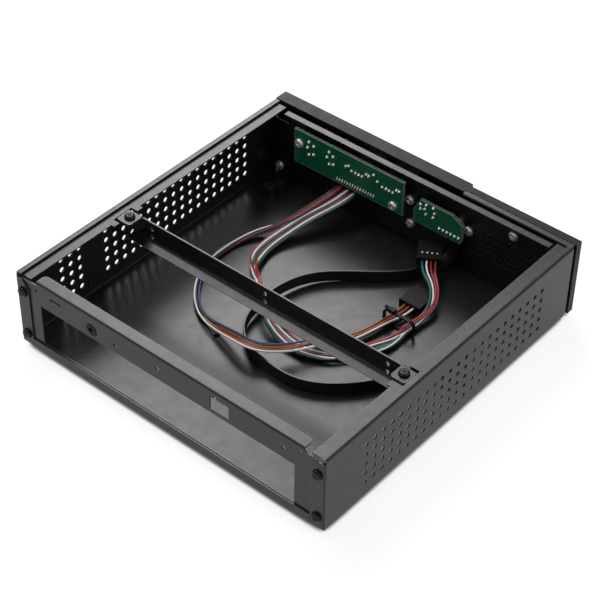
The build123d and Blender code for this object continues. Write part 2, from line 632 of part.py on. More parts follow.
def corner_radii(points):
    """For each corner of a route, the largest arc that its two runs allow."""
    radii = []
    for before, here, after in zip(points, points[1:], points[2:]):
        arrive = Vector(*here) - Vector(*before)
        leave = Vector(*after) - Vector(*here)
        shorter = min(arrive.length, leave.length)
        radii.append(CORD_ARC * shorter / math.tan(math.radians(arrive.get_angle(leave)) / 2))
    return radii


def loom(name, route, end, diameter):
    """Round bundle of wires along a route that ends at a plug."""
    points = list(route) + [end]
    radii = corner_radii(points)
    path = FilletPolyline(*points, radius=radii)
    print(name, "radii", [round(radius, 1) for radius in radii])
    section = Plane(path @ 0, z_dir=path % 0) * Circle(diameter / 2)
    tube = sweep(section, path=path)
    print(name, "length", round(path.length, 1), "volume", round(tube.volume, 1), "of",
          round(path.length * math.pi * diameter**2 / 4, 1))
    return tube


def usb_wire_end():
    """Where the wires enter the USB plug."""
    turn = math.radians(USB_PLUG_TURN)
    x, y, z = USB_PLUG_CENTRE
    half = PLUG_SIZE[1] / 2
    return (x - math.sin(turn) * half, y + math.cos(turn) * half, z)


def audio_wire_end():
    """Where the wires enter the audio plug."""
    x, y, z = AUDIO_PLUG_CENTRE
    return (x, y + PLUG_SIZE[1] / 2, z)


def plug_housing():
    """Ten way wire housing, lying flat with its open end towards -Y."""
    width, length, height = PLUG_SIZE
    body = Box(width, length, height)
    body = chamfer(body.edges().filter_by(Axis.Y), PLUG_EDGE)
    hole = Box(PIN_HOLE, 2 * PIN_HOLE_DEPTH, PIN_HOLE)
    return body - [place * hole for place in Pos(0, -length / 2, 0) * GridLocations(PIN_PITCH, PIN_PITCH, 5, 2)]


def ribbon_flat():
    """The stretch of the flat cable that stands on its edge on the floor."""
    points = [(x, y) for x, y in RIBBON_ROUTE]
    radii = corner_radii([(x, y, 0) for x, y in points])
    print("ribbon radii", [round(radius, 1) for radius in radii])
    path = FilletPolyline(*points, radius=radii)
    print("ribbon length on its edge", round(path.length, 1))
    return extrude(Plane.XY.offset(FLOOR + SIDE_PLAY) * trace(path, RIBBON_THICKNESS), RIBBON_WIDTH)


def ribbon_drop():
    """The twisted stretch from the socket down to the floor."""
    start = Vector(*RIBBON_EXIT, SOCKET_Z[0])
    landing = Vector(*RIBBON_ROUTE[0], FLOOR + SIDE_PLAY + RIBBON_WIDTH / 2)
    away = (Vector(*RIBBON_ROUTE[1]) - Vector(*RIBBON_ROUTE[0])).normalized()
    down = start + Vector(0, 0, -DROP_LEAD)
    back = landing - away * DROP_RUN_OUT
    sections = []
    for i in range(DROP_STEPS + 1):
        s = i / DROP_STEPS
        centre = start * (1 - s) ** 3 + down * 3 * s * (1 - s) ** 2 + back * 3 * s**2 * (1 - s) + landing * s**3
        along = (down - start) * (1 - s) ** 2 + (back - down) * 2 * s * (1 - s) + (landing - back) * s**2
        along = along.normalized()
        aim = Vector(math.cos(s * math.pi / 2), 0, math.sin(s * math.pi / 2))
        across = (aim - along * aim.dot(along)).normalized()
        sections.append(Plane(centre, x_dir=across, z_dir=along) * Rectangle(RIBBON_WIDTH, RIBBON_THICKNESS))
    return loft(sections, ruled=True)


def ribbon_plug():
    """Housing on the far end of the flat cable."""
    x, y = RIBBON_ROUTE[-1]
    direction = (Vector(x, y) - Vector(*RIBBON_ROUTE[-2])).normalized()
    turn = math.degrees(math.atan2(direction.X, -direction.Y))
    centre = Vector(x, y) + direction * (PLUG_SIZE[1] / 2)
    height = FLOOR + SIDE_PLAY + PLUG_SIZE[0] / 2
    return Pos(centre.X, centre.Y, height) * Rot(0, 0, turn) * Rot(0, 90, 0) * plug_housing()


def cable_tie():
    """Loose tie round both bundles, with its head on top."""
    width, height = TIE_SIZE
    outer = RectangleRounded(width, height, TIE_CORNER)
    inner = RectangleRounded(width - 2 * TIE_THICKNESS, height - 2 * TIE_THICKNESS, TIE_CORNER - TIE_THICKNESS)
    band = extrude(Plane.XZ * (outer - inner), TIE_BAND / 2, both=True)
    head = Pos(TIE_HEAD_X, 0, height / 2 + TIE_THICKNESS / 2) * Box(*TIE_HEAD)
    tail_x = TIE_HEAD_X + TIE_HEAD[0] * 0.9
    tail = Pos(tail_x, 0, height / 2 + TIE_THICKNESS * 0.9) * Rot(0, -TIE_TAIL_TILT, 0) * Box(*TIE_TAIL)
    return Pos(*TIE_CENTRE, FLOOR + height / 2) * (band + (head + tail))


def foot():
    """Stick-on rubber foot, hanging from z = 0."""
    pad = Pos(0, 0, -FOOT_HEIGHT / 2) * Cylinder(FOOT_RADIUS, FOOT_HEIGHT)
    return chamfer(pad.edges().sort_by(Axis.Z)[0], FOOT_EDGE)


def build_nodes():
    """Every piece of the case by name."""
    nodes = {
        "outer_shell": outer_shell(),
        "rear_panel": rear_panel(),
        "cable_hole_grommet": cable_hole_grommet(),
        "front_sheet": front_sheet(),
        "bezel": bezel(),
        "rail_left": rail(1),
        "rail_right": rail(-1),
        "cross_bar": cross_bar(),
        "bar_screws": bar_screws(),
        "wall_stiffener": wall_stiffener(),
        "rear_corner_screws": screws_along_y(corner_places(), CASE_DEPTH),
        "bezel_screws": screws_along_y(BEZEL_SCREWS, FRONT_BACK),
        "board_standoffs": board_standoffs(),
        "io_board": io_board(),
        "power_board": power_board(),
        "board_spacers": spacers(),
        "board_screws": screws_along_y(IO_SCREWS, BOARD_BACK, BOARD + BOARD_GAP + SHEET),
        "io_header": io_header(),
        "headphone_jack": audio_jack(JACK_X[0]),
        "microphone_jack": audio_jack(JACK_X[1]),
        "power_button": power_button(),
        "power_switch": power_switch(),
        "switch_plunger": switch_plunger(),
        "power_lamp": power_lamp(),
        "light_guide": light_guide(),
        "ribbon_socket": ribbon_socket(),
        "usb_loom": loom("usb loom", USB_ROUTE, usb_wire_end(), USB_LOOM),
        "audio_loom": loom("audio loom", AUDIO_ROUTE, audio_wire_end(), AUDIO_LOOM),
        "ribbon_cable": ribbon_flat() + ribbon_drop(),
        "usb_plug": Pos(*USB_PLUG_CENTRE) * Rot(0, 0, USB_PLUG_TURN) * plug_housing(),
        "audio_plug": Pos(*AUDIO_PLUG_CENTRE) * plug_housing(),
        "ribbon_plug": ribbon_plug(),
        "cable_tie": cable_tie(),
    }
    for number, x in enumerate(USB_X, 1):
        nodes[f"usb_port_{number}_shell"] = usb_shell(x)
        nodes[f"usb_port_{number}_tongue"] = usb_tongue(x)
    for name, x, y in (("front_left", 1, FOOT_INSET), ("front_right", -1, FOOT_INSET),
                       ("rear_left", 1, CASE_DEPTH - FOOT_INSET), ("rear_right", -1, CASE_DEPTH - FOOT_INSET)):
        nodes[f"foot_{name}"] = Pos(x * (HALF - FOOT_INSET), y, 0) * foot()
    return nodes


def main():
    """Moves every piece so that the feet stand at z = 0 and the case is centred, and writes it."""
    os.makedirs("parts", exist_ok=True)
    rear = CASE_DEPTH + SCREW_HEAD_HEIGHT
    place = Pos(0, -(rear - BUTTON_PROUD) / 2, FOOT_HEIGHT)
    for name, shape in build_nodes().items():
        solids = list(shape) if isinstance(shape, list) else [shape]
        solids = [place * solid for piece in solids for solid in piece.solids()]
        whole = solids[0] if len(solids) == 1 else Compound(children=solids)
        export_step(whole, f"parts/{name}.step")
        print(name, len(solids))


main()
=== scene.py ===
# %% [markdown]
# # A thin computer case with its lid off
# The solids of the case come from a CAD model and are kept as they are. This lesson adds what solids
# don't show: the paint, the separate wires of the cable looms, solder, screw heads, and round edges
# on the vent holes. Everything is in metres, in the CAD model's own frame: +Y is the rear of the
# case, +X is the left side as seen from behind, and the feet stand on z = 0.

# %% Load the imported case
import math
import random
import bmesh
import bpy
from mathutils import Matrix, Vector


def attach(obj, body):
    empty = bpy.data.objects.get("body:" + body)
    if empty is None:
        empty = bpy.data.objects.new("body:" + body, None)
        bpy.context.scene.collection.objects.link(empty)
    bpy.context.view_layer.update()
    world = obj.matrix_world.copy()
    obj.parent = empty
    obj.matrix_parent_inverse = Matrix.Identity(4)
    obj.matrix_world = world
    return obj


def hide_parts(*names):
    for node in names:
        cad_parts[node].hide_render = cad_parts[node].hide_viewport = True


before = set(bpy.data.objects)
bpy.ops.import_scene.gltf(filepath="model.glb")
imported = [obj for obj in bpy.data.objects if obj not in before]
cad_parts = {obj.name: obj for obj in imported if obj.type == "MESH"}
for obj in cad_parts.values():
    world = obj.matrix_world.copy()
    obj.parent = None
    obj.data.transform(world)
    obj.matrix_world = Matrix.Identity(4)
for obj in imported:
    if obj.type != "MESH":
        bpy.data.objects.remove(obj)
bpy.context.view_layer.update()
MM = 0.001

# %% [markdown]
# ## The camera
# The case was photographed from behind, from its right side and from well above, with a long lens.
# A long lens far away keeps the edges of the case almost parallel. The camera is given by the
# direction it looks from, its distance and a small roll, because those can be fitted one by one.

# %% Camera at the photograph's viewing angle
AZIMUTH, ELEVATION, ROLL = math.radians(219.424), math.radians(41.283), math.radians(1.023)
DISTANCE = 0.8916
TARGET = Vector((0, -0.77, 17.5)) * MM


def camera_turn(azimuth, elevation, roll):
    """Rotation of a camera that looks along minus its third column."""
    back = Vector((math.sin(azimuth) * math.cos(elevation),
                   -math.cos(azimuth) * math.cos(elevation), math.sin(elevation)))
    level = Vector((0, 0, 1)).cross(back).normalized()
    upright = back.cross(level)
    right = level * math.cos(roll) + upright * math.sin(roll)
    up = upright * math.cos(roll) - level * math.sin(roll)
    return Matrix((right, up, back)).transposed(), back


turn, toward_camera = camera_turn(AZIMUTH, ELEVATION, ROLL)
lens = bpy.data.cameras.new("camera")
lens.sensor_width = 36
lens.lens = 108.594
lens.shift_x, lens.shift_y = -0.00532, 0.00088
camera = bpy.data.objects.new("camera", lens)
camera.matrix_world = Matrix.Translation(TARGET + toward_camera * DISTANCE) @ turn.to_4x4()
bpy.context.collection.objects.link(camera)
bpy.context.scene.camera = camera
print("camera stands at", [round(v, 3) for v in camera.matrix_world.translation])

# %% [markdown]
# ## The routes of the cords
# Two looms of thin wires and one flat cable lie loose on the floor of the case. Each follows the
# route of its CAD solid, whose points are repeated here. Only the heights differ a little, where
# the flat cable bows off the floor and the wires pass over it. A NURBS curve takes the points as
# control points, so it flows past them with no corners, as a wire under its own weight does.

# %% Route points, in millimetres of the case's own drawing
CASE_MIDDLE, FOOT_HEIGHT = 99.9, 2.5
CURVE_ORDER, CURVE_STEPS = 3, 7
USB_ROUTE = (
    (35.0, 17.2, 16.9), (35.0, 20.8, 16.9), (36.0, 26.4, 15.9), (38.9, 32.0, 13.4), (42.8, 38.6, 10.6),
    (46.4, 46.4, 7.8), (49.1, 56.2, 5.2), (50.6, 64.8, 3.7), (50.0, 74.3, 3.2), (45.5, 83.9, 4.4),
    (38.0, 92.4, 8.0), (29.4, 99.4, 11.4), (18.2, 108.6, 11.2), (10.3, 113.9, 7.6), (1.6, 115.4, 4.2),
    (-6.2, 116.6, 3.1), (-14.9, 116.7, 3.1), (-23.8, 113.7, 3.1), (-30.6, 108.7, 3.1),
    (-36.2, 101.2, 3.2), (-39.9, 92.6, 3.2), (-44.0, 83.8, 3.6), (-44.9, 72.0, 4.1),
    (-45.5, 61.1, 4.3), (-45.2, 53.0, 5.6), (-42.2, 46.6, 8.8), (-36.9, 41.6, 10.7),
    (-29.96, 36.61, 10.9), (-26.28, 30.89, 10.9),
)
AUDIO_ROUTE = (
    (42.8, 17.2, 16.9), (42.8, 20.8, 16.9), (43.5, 26.4, 15.7), (46.0, 32.8, 13.2), (48.8, 39.8, 10.6),
    (51.8, 48.2, 8.0), (56.7, 57.0, 5.4), (61.6, 64.0, 3.6), (65.0, 74.0, 2.8), (66.3, 84.6, 2.8),
    (65.4, 95.0, 2.8), (61.6, 107.4, 2.8), (53.5, 119.6, 2.8), (43.7, 127.8, 2.8), (34.6, 131.3, 3.2),
    (25.1, 133.1, 5.0), (14.8, 135.3, 8.2), (4.2, 137.0, 10.5), (-3.4, 134.9, 10.5), (-9.5, 128.5, 9.4),
    (-14.6, 121.0, 8.4), (-18.6, 112.4, 7.6), (-23.6, 103.0, 5.2), (-28.6, 93.4, 3.8),
    (-31.5, 83.1, 3.8), (-33.1, 73.4, 3.9), (-35.0, 65.4, 3.4), (-35.0, 58.0, 3.4),
)
RIBBON_ROUTE = (
    (-30.6, 15.4, 20.9), (-30.6, 15.4, 12.0), (-28.6, 19.8, 4.6), (-24.2, 28.3, 4.2), (-21.6, 35.9, 4.2),
    (-15.7, 44.1, 4.2), (-5.7, 52.8, 4.2), (3.9, 60.6, 4.3), (13.4, 70.0, 4.7), (19.0, 80.4, 5.2),
    (21.6, 92.6, 5.7), (21.9, 106.0, 5.7), (19.8, 118.2, 5.3), (15.4, 126.6, 4.6), (8.7, 132.2, 4.2),
    (0.4, 135.9, 4.2), (-8.8, 137.3, 4.2), (-18.4, 138.2, 4.2), (-28.6, 137.2, 4.2), (-38.4, 132.6, 4.2),
    (-46.4, 126.1, 4.2), (-53.4, 118.5, 4.2), (-59.6, 109.2, 4.2), (-63.4, 98.6, 4.2),
    (-67.4, 90.2, 4.2), (-72.0, 84.6, 4.2),
)


def place(x, y, z):
    """A point of the drawing, in metres in the frame."""
    return Vector((x, y - CASE_MIDDLE, z + FOOT_HEIGHT)) * MM


def smooth_path(name, route):
    """Points along a NURBS curve whose control points are the route's."""
    curve = bpy.data.curves.new(name, "CURVE")
    curve.dimensions = "3D"
    spline = curve.splines.new("NURBS")
    spline.points.add(len(route) - 1)
    for control, point in zip(spline.points, route):
        control.co = (*place(*point), 1)
    spline.order_u = CURVE_ORDER
    spline.use_endpoint_u = True
    spline.resolution_u = CURVE_STEPS
    guide = bpy.data.objects.new(name, curve)
    bpy.context.collection.objects.link(guide)
    line = bpy.data.meshes.new_from_object(guide)
    points = [vertex.co.copy() for vertex in line.vertices]
    bpy.data.objects.remove(guide)
    bpy.data.curves.remove(curve)
    bpy.data.meshes.remove(line)
    return points


def length_of(points):
    """Length along a line of points."""
    return sum((b - a).length for a, b in zip(points, points[1:]))


usb_path = smooth_path("usb_route", USB_ROUTE)
audio_path = smooth_path("audio_route", AUDIO_ROUTE)
ribbon_path = smooth_path("ribbon_route", RIBBON_ROUTE)
for name, path in (("usb", usb_path), ("audio", audio_path), ("ribbon", ribbon_path)):
    print(name, "route:", len(path), "points,", round(length_of(path) / MM, 1), "mm")

# %% [markdown]
# ## The wires of the looms
# A loom is a handful of thin covered wires with nothing round them, so it spreads out flat near
# the board and closes up where it bends. One thick tube would look like a hose. So every wire is
# its own tube that keeps a place beside the route's line. The places of all wires are given
# together, at a few stations along the way, because they have to look right as a bundle. The
# colour of each cover is stored in a colour attribute of the mesh.

# %% Wires that follow a route
WIRE_RADIUS = 0.54
WIRE_SIDES = 8
LAYER_RISE = 1.15
WANDER_WAVES, WANDER_STEP = 9.0, 2.4


def frames_along(path):
    """For each point: its share of the length, itself, the direction to its side, and up."""
    total, gone, frames = length_of(path), 0.0, []
    for i, point in enumerate(path):
        before, after = path[max(i - 1, 0)], path[min(i + 1, len(path) - 1)]
        gone += (point - before).length
        along = (after - before).normalized()
        side = along.cross(Vector((0, 0, 1))).normalized()
        frames.append((gone / total, point, side, side.cross(along)))
    return frames


def between(stations, share):
    """The wires' places at a share of the length, eased from one station to the next."""
    for (start, places), (end, later) in zip(stations, stations[1:]):
        if share <= end:
            t = (share - start) / (end - start)
            t = t * t * (3 - 2 * t)
            return [(u + (p - u) * t, v + (q - v) * t) for (u, v), (p, q) in zip(places, later)]
    return stations[-1][1]


def tube_faces(rings, sides):
    """Side faces and the two end faces of a tube made of rings of points."""
    faces = []
    for ring in range(rings - 1):
        for i in range(sides):
            a, b = ring * sides + i, ring * sides + (i + 1) % sides
            faces.append((a, b, b + sides, a + sides))
    last = (rings - 1) * sides
    faces.append(tuple(reversed(range(sides))))
    faces.append(tuple(range(last, last + sides)))
    return faces


def loom(name, path, stations, colours, wander):
    """A mesh of wires round a path, each with the colour of its cover."""
    points, faces, covers = [], [], []
    frames = frames_along(path)
    for wire, colour in enumerate(colours):
        first = len(points)
        for share, centre, side, up in frames:
            u, v = between(stations, share)[wire]
            loose = wander * math.sin(math.pi * share) ** 0.5
            u += loose * math.sin(WANDER_WAVES * share * math.pi + wire * WANDER_STEP)
            middle = centre + (side * u + up * v) * MM
            for corner in range(WIRE_SIDES):
                angle = math.tau * corner / WIRE_SIDES
                spoke = side * math.cos(angle) - up * math.sin(angle)
                points.append(middle + spoke * WIRE_RADIUS * MM)
        for face in tube_faces(len(frames), WIRE_SIDES):
            faces.append([first + corner for corner in face])
            covers.append(colour)
    mesh = bpy.data.meshes.new(name)
    mesh.from_pydata(points, [], faces)
    paint = mesh.color_attributes.new("cover", "FLOAT_COLOR", "CORNER")
    for polygon, colour in zip(mesh.polygons, covers):
        for corner in polygon.loop_indices:
            paint.data[corner].color = (*colour, 1)
        polygon.use_smooth = len(polygon.vertices) == 4
    piece = bpy.data.objects.new(name, mesh)
    bpy.context.collection.objects.link(piece)
    print(name, "has", len(colours), "wires and", len(faces), "faces")
    return piece


def packed(order, columns, pitch):
    """Places of the wires, taken in order from one side to the other and from the lowest layer up."""
    rows = -(-len(order) // columns)
    spots = {}
    for spot, wire in enumerate(order):
        column, layer = spot % columns, spot // columns
        spots[wire] = ((column - (columns - 1) / 2) * pitch, (layer - (rows - 1) / 2) * LAYER_RISE)
    return [spots[wire] for wire in range(len(order))]


WIRE_BLACK, WIRE_RED, WIRE_WHITE = (0.012, 0.012, 0.014), (0.38, 0.022, 0.028), (0.86, 0.86, 0.84)
WIRE_TEAL, WIRE_BLUE, WIRE_ORANGE = (0.01, 0.16, 0.13), (0.05, 0.065, 0.24), (0.34, 0.07, 0.018)
WIRE_BROWN, WIRE_YELLOW = (0.16, 0.03, 0.012), (0.34, 0.11, 0.02)

usb_loom = loom("usb_wires", usb_path, [
    (0.0, packed((0, 1, 2, 3, 4, 5, 6, 7), 8, 1.05)),
    (0.24, packed((0, 1, 2, 3, 4, 5, 6, 7), 8, 1.10)),
    (0.34, packed((0, 4, 1, 5, 2, 6, 3, 7), 3, 1.10)),
    (0.42, packed((4, 0, 5, 3, 2, 1, 7, 6), 3, 1.10)),
    (0.52, packed((7, 4, 6, 5, 3, 2, 1, 0), 8, 1.08)),
    (0.60, packed((7, 4, 6, 5, 3, 2, 1, 0), 8, 1.08)),
    (0.72, packed((7, 3, 6, 4, 0, 1, 5, 2), 8, 0.98)),
    (0.82, packed((0, 4, 1, 5, 2, 6, 3, 7), 3, 1.15)),
    (0.92, packed((1, 0, 4, 2, 5, 6, 3, 7), 4, 1.35)),
    (1.0, packed((1, 0, 4, 2, 5, 6, 3, 7), 4, 2.3)),
], (WIRE_BLACK, WIRE_TEAL, WIRE_WHITE, WIRE_RED, WIRE_BLACK, WIRE_TEAL, WIRE_WHITE, WIRE_RED), 0.15)
audio_loom = loom("audio_wires", audio_path, [
    (0.0, packed((0, 5, 2, 3, 4, 1), 3, 1.25)),
    (0.10, packed((0, 5, 2, 3, 4, 1), 3, 1.2)),
    (0.20, packed((0, 2, 3, 4, 1, 5), 3, 1.2)),
    (0.29, packed((4, 2, 3, 1, 5, 0), 3, 1.1)),
    (0.38, packed((3, 2, 4, 0, 1, 5), 3, 1.1)),
    (0.46, packed((3, 2, 4, 0, 1, 5), 3, 1.2)),
    (0.60, packed((0, 1, 3, 4, 2, 5), 6, 1.08)),
    (0.70, packed((0, 1, 3, 4, 2, 5), 6, 1.1)),
    (0.80, packed((0, 2, 3, 4, 1, 5), 6, 1.0)),
    (0.90, packed((0, 4, 1, 2, 3, 5), 3, 1.4)),
    (1.0, packed((0, 4, 1, 2, 3, 5), 3, 2.5)),
], (WIRE_BLUE, WIRE_BLACK, WIRE_YELLOW, WIRE_ORANGE, WIRE_BROWN, WIRE_WHITE), 0.15)

# %% [markdown]
# ## The flat cable
# The flat cable is a row of fine wires in one black cover, so both of its faces are ribbed. It
# hangs from its socket with its width across the case, turns a quarter, and then stands on its
# edge on the floor. A plain strip would lose the ribs that catch the light along it, so a ribbed
# outline is carried along the path and turned on the way down.

# %% Ribbed band along its path
RIBBON_WIDTH, RIBBON_THICKNESS, RIBBON_WIRES = 6.5, 1.15, 6
RIB_VALLEY, RIB_RISE = 0.62, 0.38
TURN_SHARE = 0.10


def ribbed_outline(steps=4):
    """Outline of the cable: places across its width and its thickness, in millimetres."""
    count = RIBBON_WIRES * steps
    edge = []
    for i in range(count + 1):
        across = (i / count - 0.5) * RIBBON_WIDTH
        bulge = abs(math.sin(math.pi * i / steps))
        edge.append((across, RIBBON_THICKNESS / 2 * (RIB_VALLEY + RIB_RISE * bulge)))
    return edge + [(across, -depth) for across, depth in reversed(edge)]


def faces_outward(mesh):
    """Turns every face of a closed mesh to the outside."""
    work = bmesh.new()
    work.from_mesh(mesh)
    bmesh.ops.recalc_face_normals(work, faces=work.faces)
    work.to_mesh(mesh)
    work.free()


def band(name, path):
    """A mesh of the ribbed outline carried along a path."""
    outline = ribbed_outline()
    points = []
    frames = frames_along(path)
    first_side = Vector((1, 0, 0))
    for share, centre, side, up in frames:
        stand = min(share / TURN_SHARE, 1.0)
        stand = stand * stand * (3 - 2 * stand)
        along = up.cross(side)
        wide = first_side.lerp(Vector((0, 0, 1)), stand)
        wide = (wide - along * wide.dot(along)).normalized()
        thick = along.cross(wide)
        points += [centre + (wide * across + thick * depth) * MM for across, depth in outline]
    mesh = bpy.data.meshes.new(name)
    mesh.from_pydata(points, [], tube_faces(len(frames), len(outline)))
    narrow = (len(outline) // 2 - 1, len(outline) - 1)
    for polygon in mesh.polygons:
        on_face = polygon.index % len(outline) not in narrow
        polygon.use_smooth = on_face and len(polygon.vertices) == 4
    faces_outward(mesh)
    piece = bpy.data.objects.new(name, mesh)
    bpy.context.collection.objects.link(piece)
    print(name, "has", len(mesh.polygons), "faces")
    return piece


ribbon = band("flat_cable", ribbon_path)

# %% [markdown]
# ## Floor and light
# The case stands on a white surface in soft studio light. A shiny black case shows mostly what it
# mirrors, so the lamps hang where its faces mirror them towards the camera: one box in front of
# the case for the level faces, and one overhead for the sloping foot of the bar. A third box fills
# in the perforated wall from its side. The floor looks white to the camera and still takes a faint
# shadow. Its glow fades with ambient occlusion: a painted shade that darkens it under the case and
# close round it, so that the holes of the case's own floor stay black.

# %% White floor that keeps a shadow
CAMERA, MIRROR, THROUGH = "Is Camera Ray", "Is Glossy Ray", "Is Transmission Ray"
PAPER_WHITE = 0.86
WHITE_SHARE, WHITE_GLOW, MIRRORED_GLOW = 0.72, 1.2, 0.62
UNDER_CASE, COVERED_SKY, OPEN_SKY = 0.03, 0.25, 0.5
FLOOR_HALF = 3.0


def seen_as(nodes, links, names):
    """One for the kinds of ray named, and zero for every other ray."""
    rays = nodes.new("ShaderNodeLightPath")
    total = rays.outputs[names[0]]
    for name in names[1:]:
        join = nodes.new("ShaderNodeMath")
        join.operation = "MAXIMUM"
        links.new(total, join.inputs[0])
        links.new(rays.outputs[name], join.inputs[1])
        total = join.outputs[0]
    return total


def scaled(nodes, links, value, factor):
    """A value times a factor, which is a number or another value."""
    product = nodes.new("ShaderNodeMath")
    product.operation = "MULTIPLY"
    links.new(value, product.inputs[0])
    if isinstance(factor, float):
        product.inputs[1].default_value = factor
    else:
        links.new(factor, product.inputs[1])
    return product.outputs[0]


def white_floor():
    """Material of the floor."""
    material = bpy.data.materials.new("white_floor")
    material.use_nodes = True
    nodes, links = material.node_tree.nodes, material.node_tree.links
    nodes.clear()
    paper = nodes.new("ShaderNodeBsdfDiffuse")
    paper.inputs["Color"].default_value = (PAPER_WHITE, PAPER_WHITE, PAPER_WHITE, 1)
    # Ambient occlusion fades the floor's glow under and close round the case: painted shade.
    covered = nodes.new("ShaderNodeAmbientOcclusion")
    covered.inputs["Distance"].default_value = UNDER_CASE
    open_sky = nodes.new("ShaderNodeMapRange")
    open_sky.inputs["From Min"].default_value = COVERED_SKY
    open_sky.inputs["From Max"].default_value = OPEN_SKY
    links.new(covered.outputs["AO"], open_sky.inputs["Value"])
    blend = nodes.new("ShaderNodeMixShader")
    links.new(seen_as(nodes, links, (CAMERA, MIRROR, THROUGH)), blend.inputs["Fac"])
    links.new(paper.outputs[0], blend.inputs[1])
    white = scaled(nodes, links, seen_as(nodes, links, (CAMERA,)), WHITE_GLOW * WHITE_SHARE)
    mirrored = scaled(nodes, links, seen_as(nodes, links, (MIRROR, THROUGH)), MIRRORED_GLOW)
    both = nodes.new("ShaderNodeMath")
    links.new(white, both.inputs[0])
    links.new(mirrored, both.inputs[1])
    glow = nodes.new("ShaderNodeEmission")
    links.new(scaled(nodes, links, both.outputs[0], open_sky.outputs["Result"]), glow.inputs["Strength"])
    lit = nodes.new("ShaderNodeBsdfDiffuse")
    level = PAPER_WHITE * (1 - WHITE_SHARE)
    lit.inputs["Color"].default_value = (level, level, level, 1)
    seen = nodes.new("ShaderNodeAddShader")
    links.new(glow.outputs[0], seen.inputs[0])
    links.new(lit.outputs[0], seen.inputs[1])
    links.new(seen.outputs[0], blend.inputs[2])
    output = nodes.new("ShaderNodeOutputMaterial")
    links.new(blend.outputs[0], output.inputs["Surface"])
    return material


floor_mesh = bpy.data.meshes.new("studio_floor")
floor_mesh.from_pydata([(-FLOOR_HALF, -FLOOR_HALF, 0), (FLOOR_HALF, -FLOOR_HALF, 0),
                        (FLOOR_HALF, FLOOR_HALF, 0), (-FLOOR_HALF, FLOOR_HALF, 0)], [], [(0, 1, 2, 3)])
floor_mesh.materials.append(white_floor())
studio_floor = bpy.data.objects.new("studio_floor", floor_mesh)
bpy.context.collection.objects.link(studio_floor)
print("the floor is", 2 * FLOOR_HALF, "m wide")

# %% [markdown]
# ### Sky and lamps
# The sky is white to the camera and through clear plastic, so the picture has a white background.
# To every other ray it is dimmer, because a full white sky would wash out the black paint. Area
# lamps stand for the softboxes of a studio: their size sets how soft shadows and reflections are.

# %% World and lamps
WORLD_LEVEL, WORLD_MIRRORED = 0.26, 0.42


def white_world():
    """Sky that is white to the camera, and a dimmer soft fill for the rest."""
    world = bpy.data.worlds.new("studio")
    world.use_nodes = True
    nodes, links = world.node_tree.nodes, world.node_tree.links
    background = nodes["Background"]
    background.inputs["Color"].default_value = (1, 1, 1, 1)
    white = scaled(nodes, links, seen_as(nodes, links, (CAMERA, THROUGH)), 1 - WORLD_LEVEL)
    mirrored = scaled(nodes, links, seen_as(nodes, links, (MIRROR,)), WORLD_MIRRORED - WORLD_LEVEL)
    total = nodes.new("ShaderNodeMath")
    links.new(white, total.inputs[0])
    links.new(mirrored, total.inputs[1])
    level = nodes.new("ShaderNodeMath")
    level.inputs[1].default_value = WORLD_LEVEL
    links.new(total.outputs[0], level.inputs[0])
    links.new(level.outputs[0], background.inputs["Strength"])
    return world


def soft_lamp(name, direction, distance, size, watts):
    """A rectangular lamp at a distance from the case, turned towards it."""
    light = bpy.data.lights.new(name, "AREA")
    light.shape = "RECTANGLE"
    light.size, light.size_y = size
    light.energy = watts
    lamp = bpy.data.objects.new(name, light)
    aim = Vector(direction).normalized()
    lamp.rotation_euler = aim.to_track_quat("Z", "Y").to_euler()
    lamp.location = TARGET + aim * distance
    bpy.context.collection.objects.link(lamp)
    print(name, "stands", round(lamp.location.z, 2), "m high")


bpy.context.scene.world = white_world()
mirror = Vector((-toward_camera.x, -toward_camera.y, toward_camera.z))
soft_lamp("mirror_softbox", mirror + Vector((0.05, 0.04, -0.04)), 1.3, (0.5, 0.75), 7.2)
soft_lamp("overhead_softbox", (0.48, -0.02, 0.88), 1.3, (0.7, 0.5), 6)
soft_lamp("side_softbox", (-0.9, -0.2, 0.8), 1.5, (0.8, 0.8), 4)
bpy.context.scene.view_settings.view_transform = "Standard"

# %% [markdown]
# ## Paint and plastic
# Powder coat is a baked plastic skin: almost black, with a fine orange-peel surface that breaks up
# reflections. Its edges are painted paler: a painted highlight that stands for the light a bent
# edge catches. A principled shader gives the skin, two noise textures give the peel and the
# mottle, and a bevel node finds the edges for the painted highlight. Nickel and solder are part
# metal and part dull white: real plating is full of fine scratches, and a pure mirror would show
# only the dark inside of the case.

# %% A finish with grain
FINE_DETAIL, BROAD_DETAIL, BROAD_TIMES = 3, 4, 14
BEVEL_SAMPLES, FLAT_FACE, FULL_EDGE = 4, 0.995, 0.80


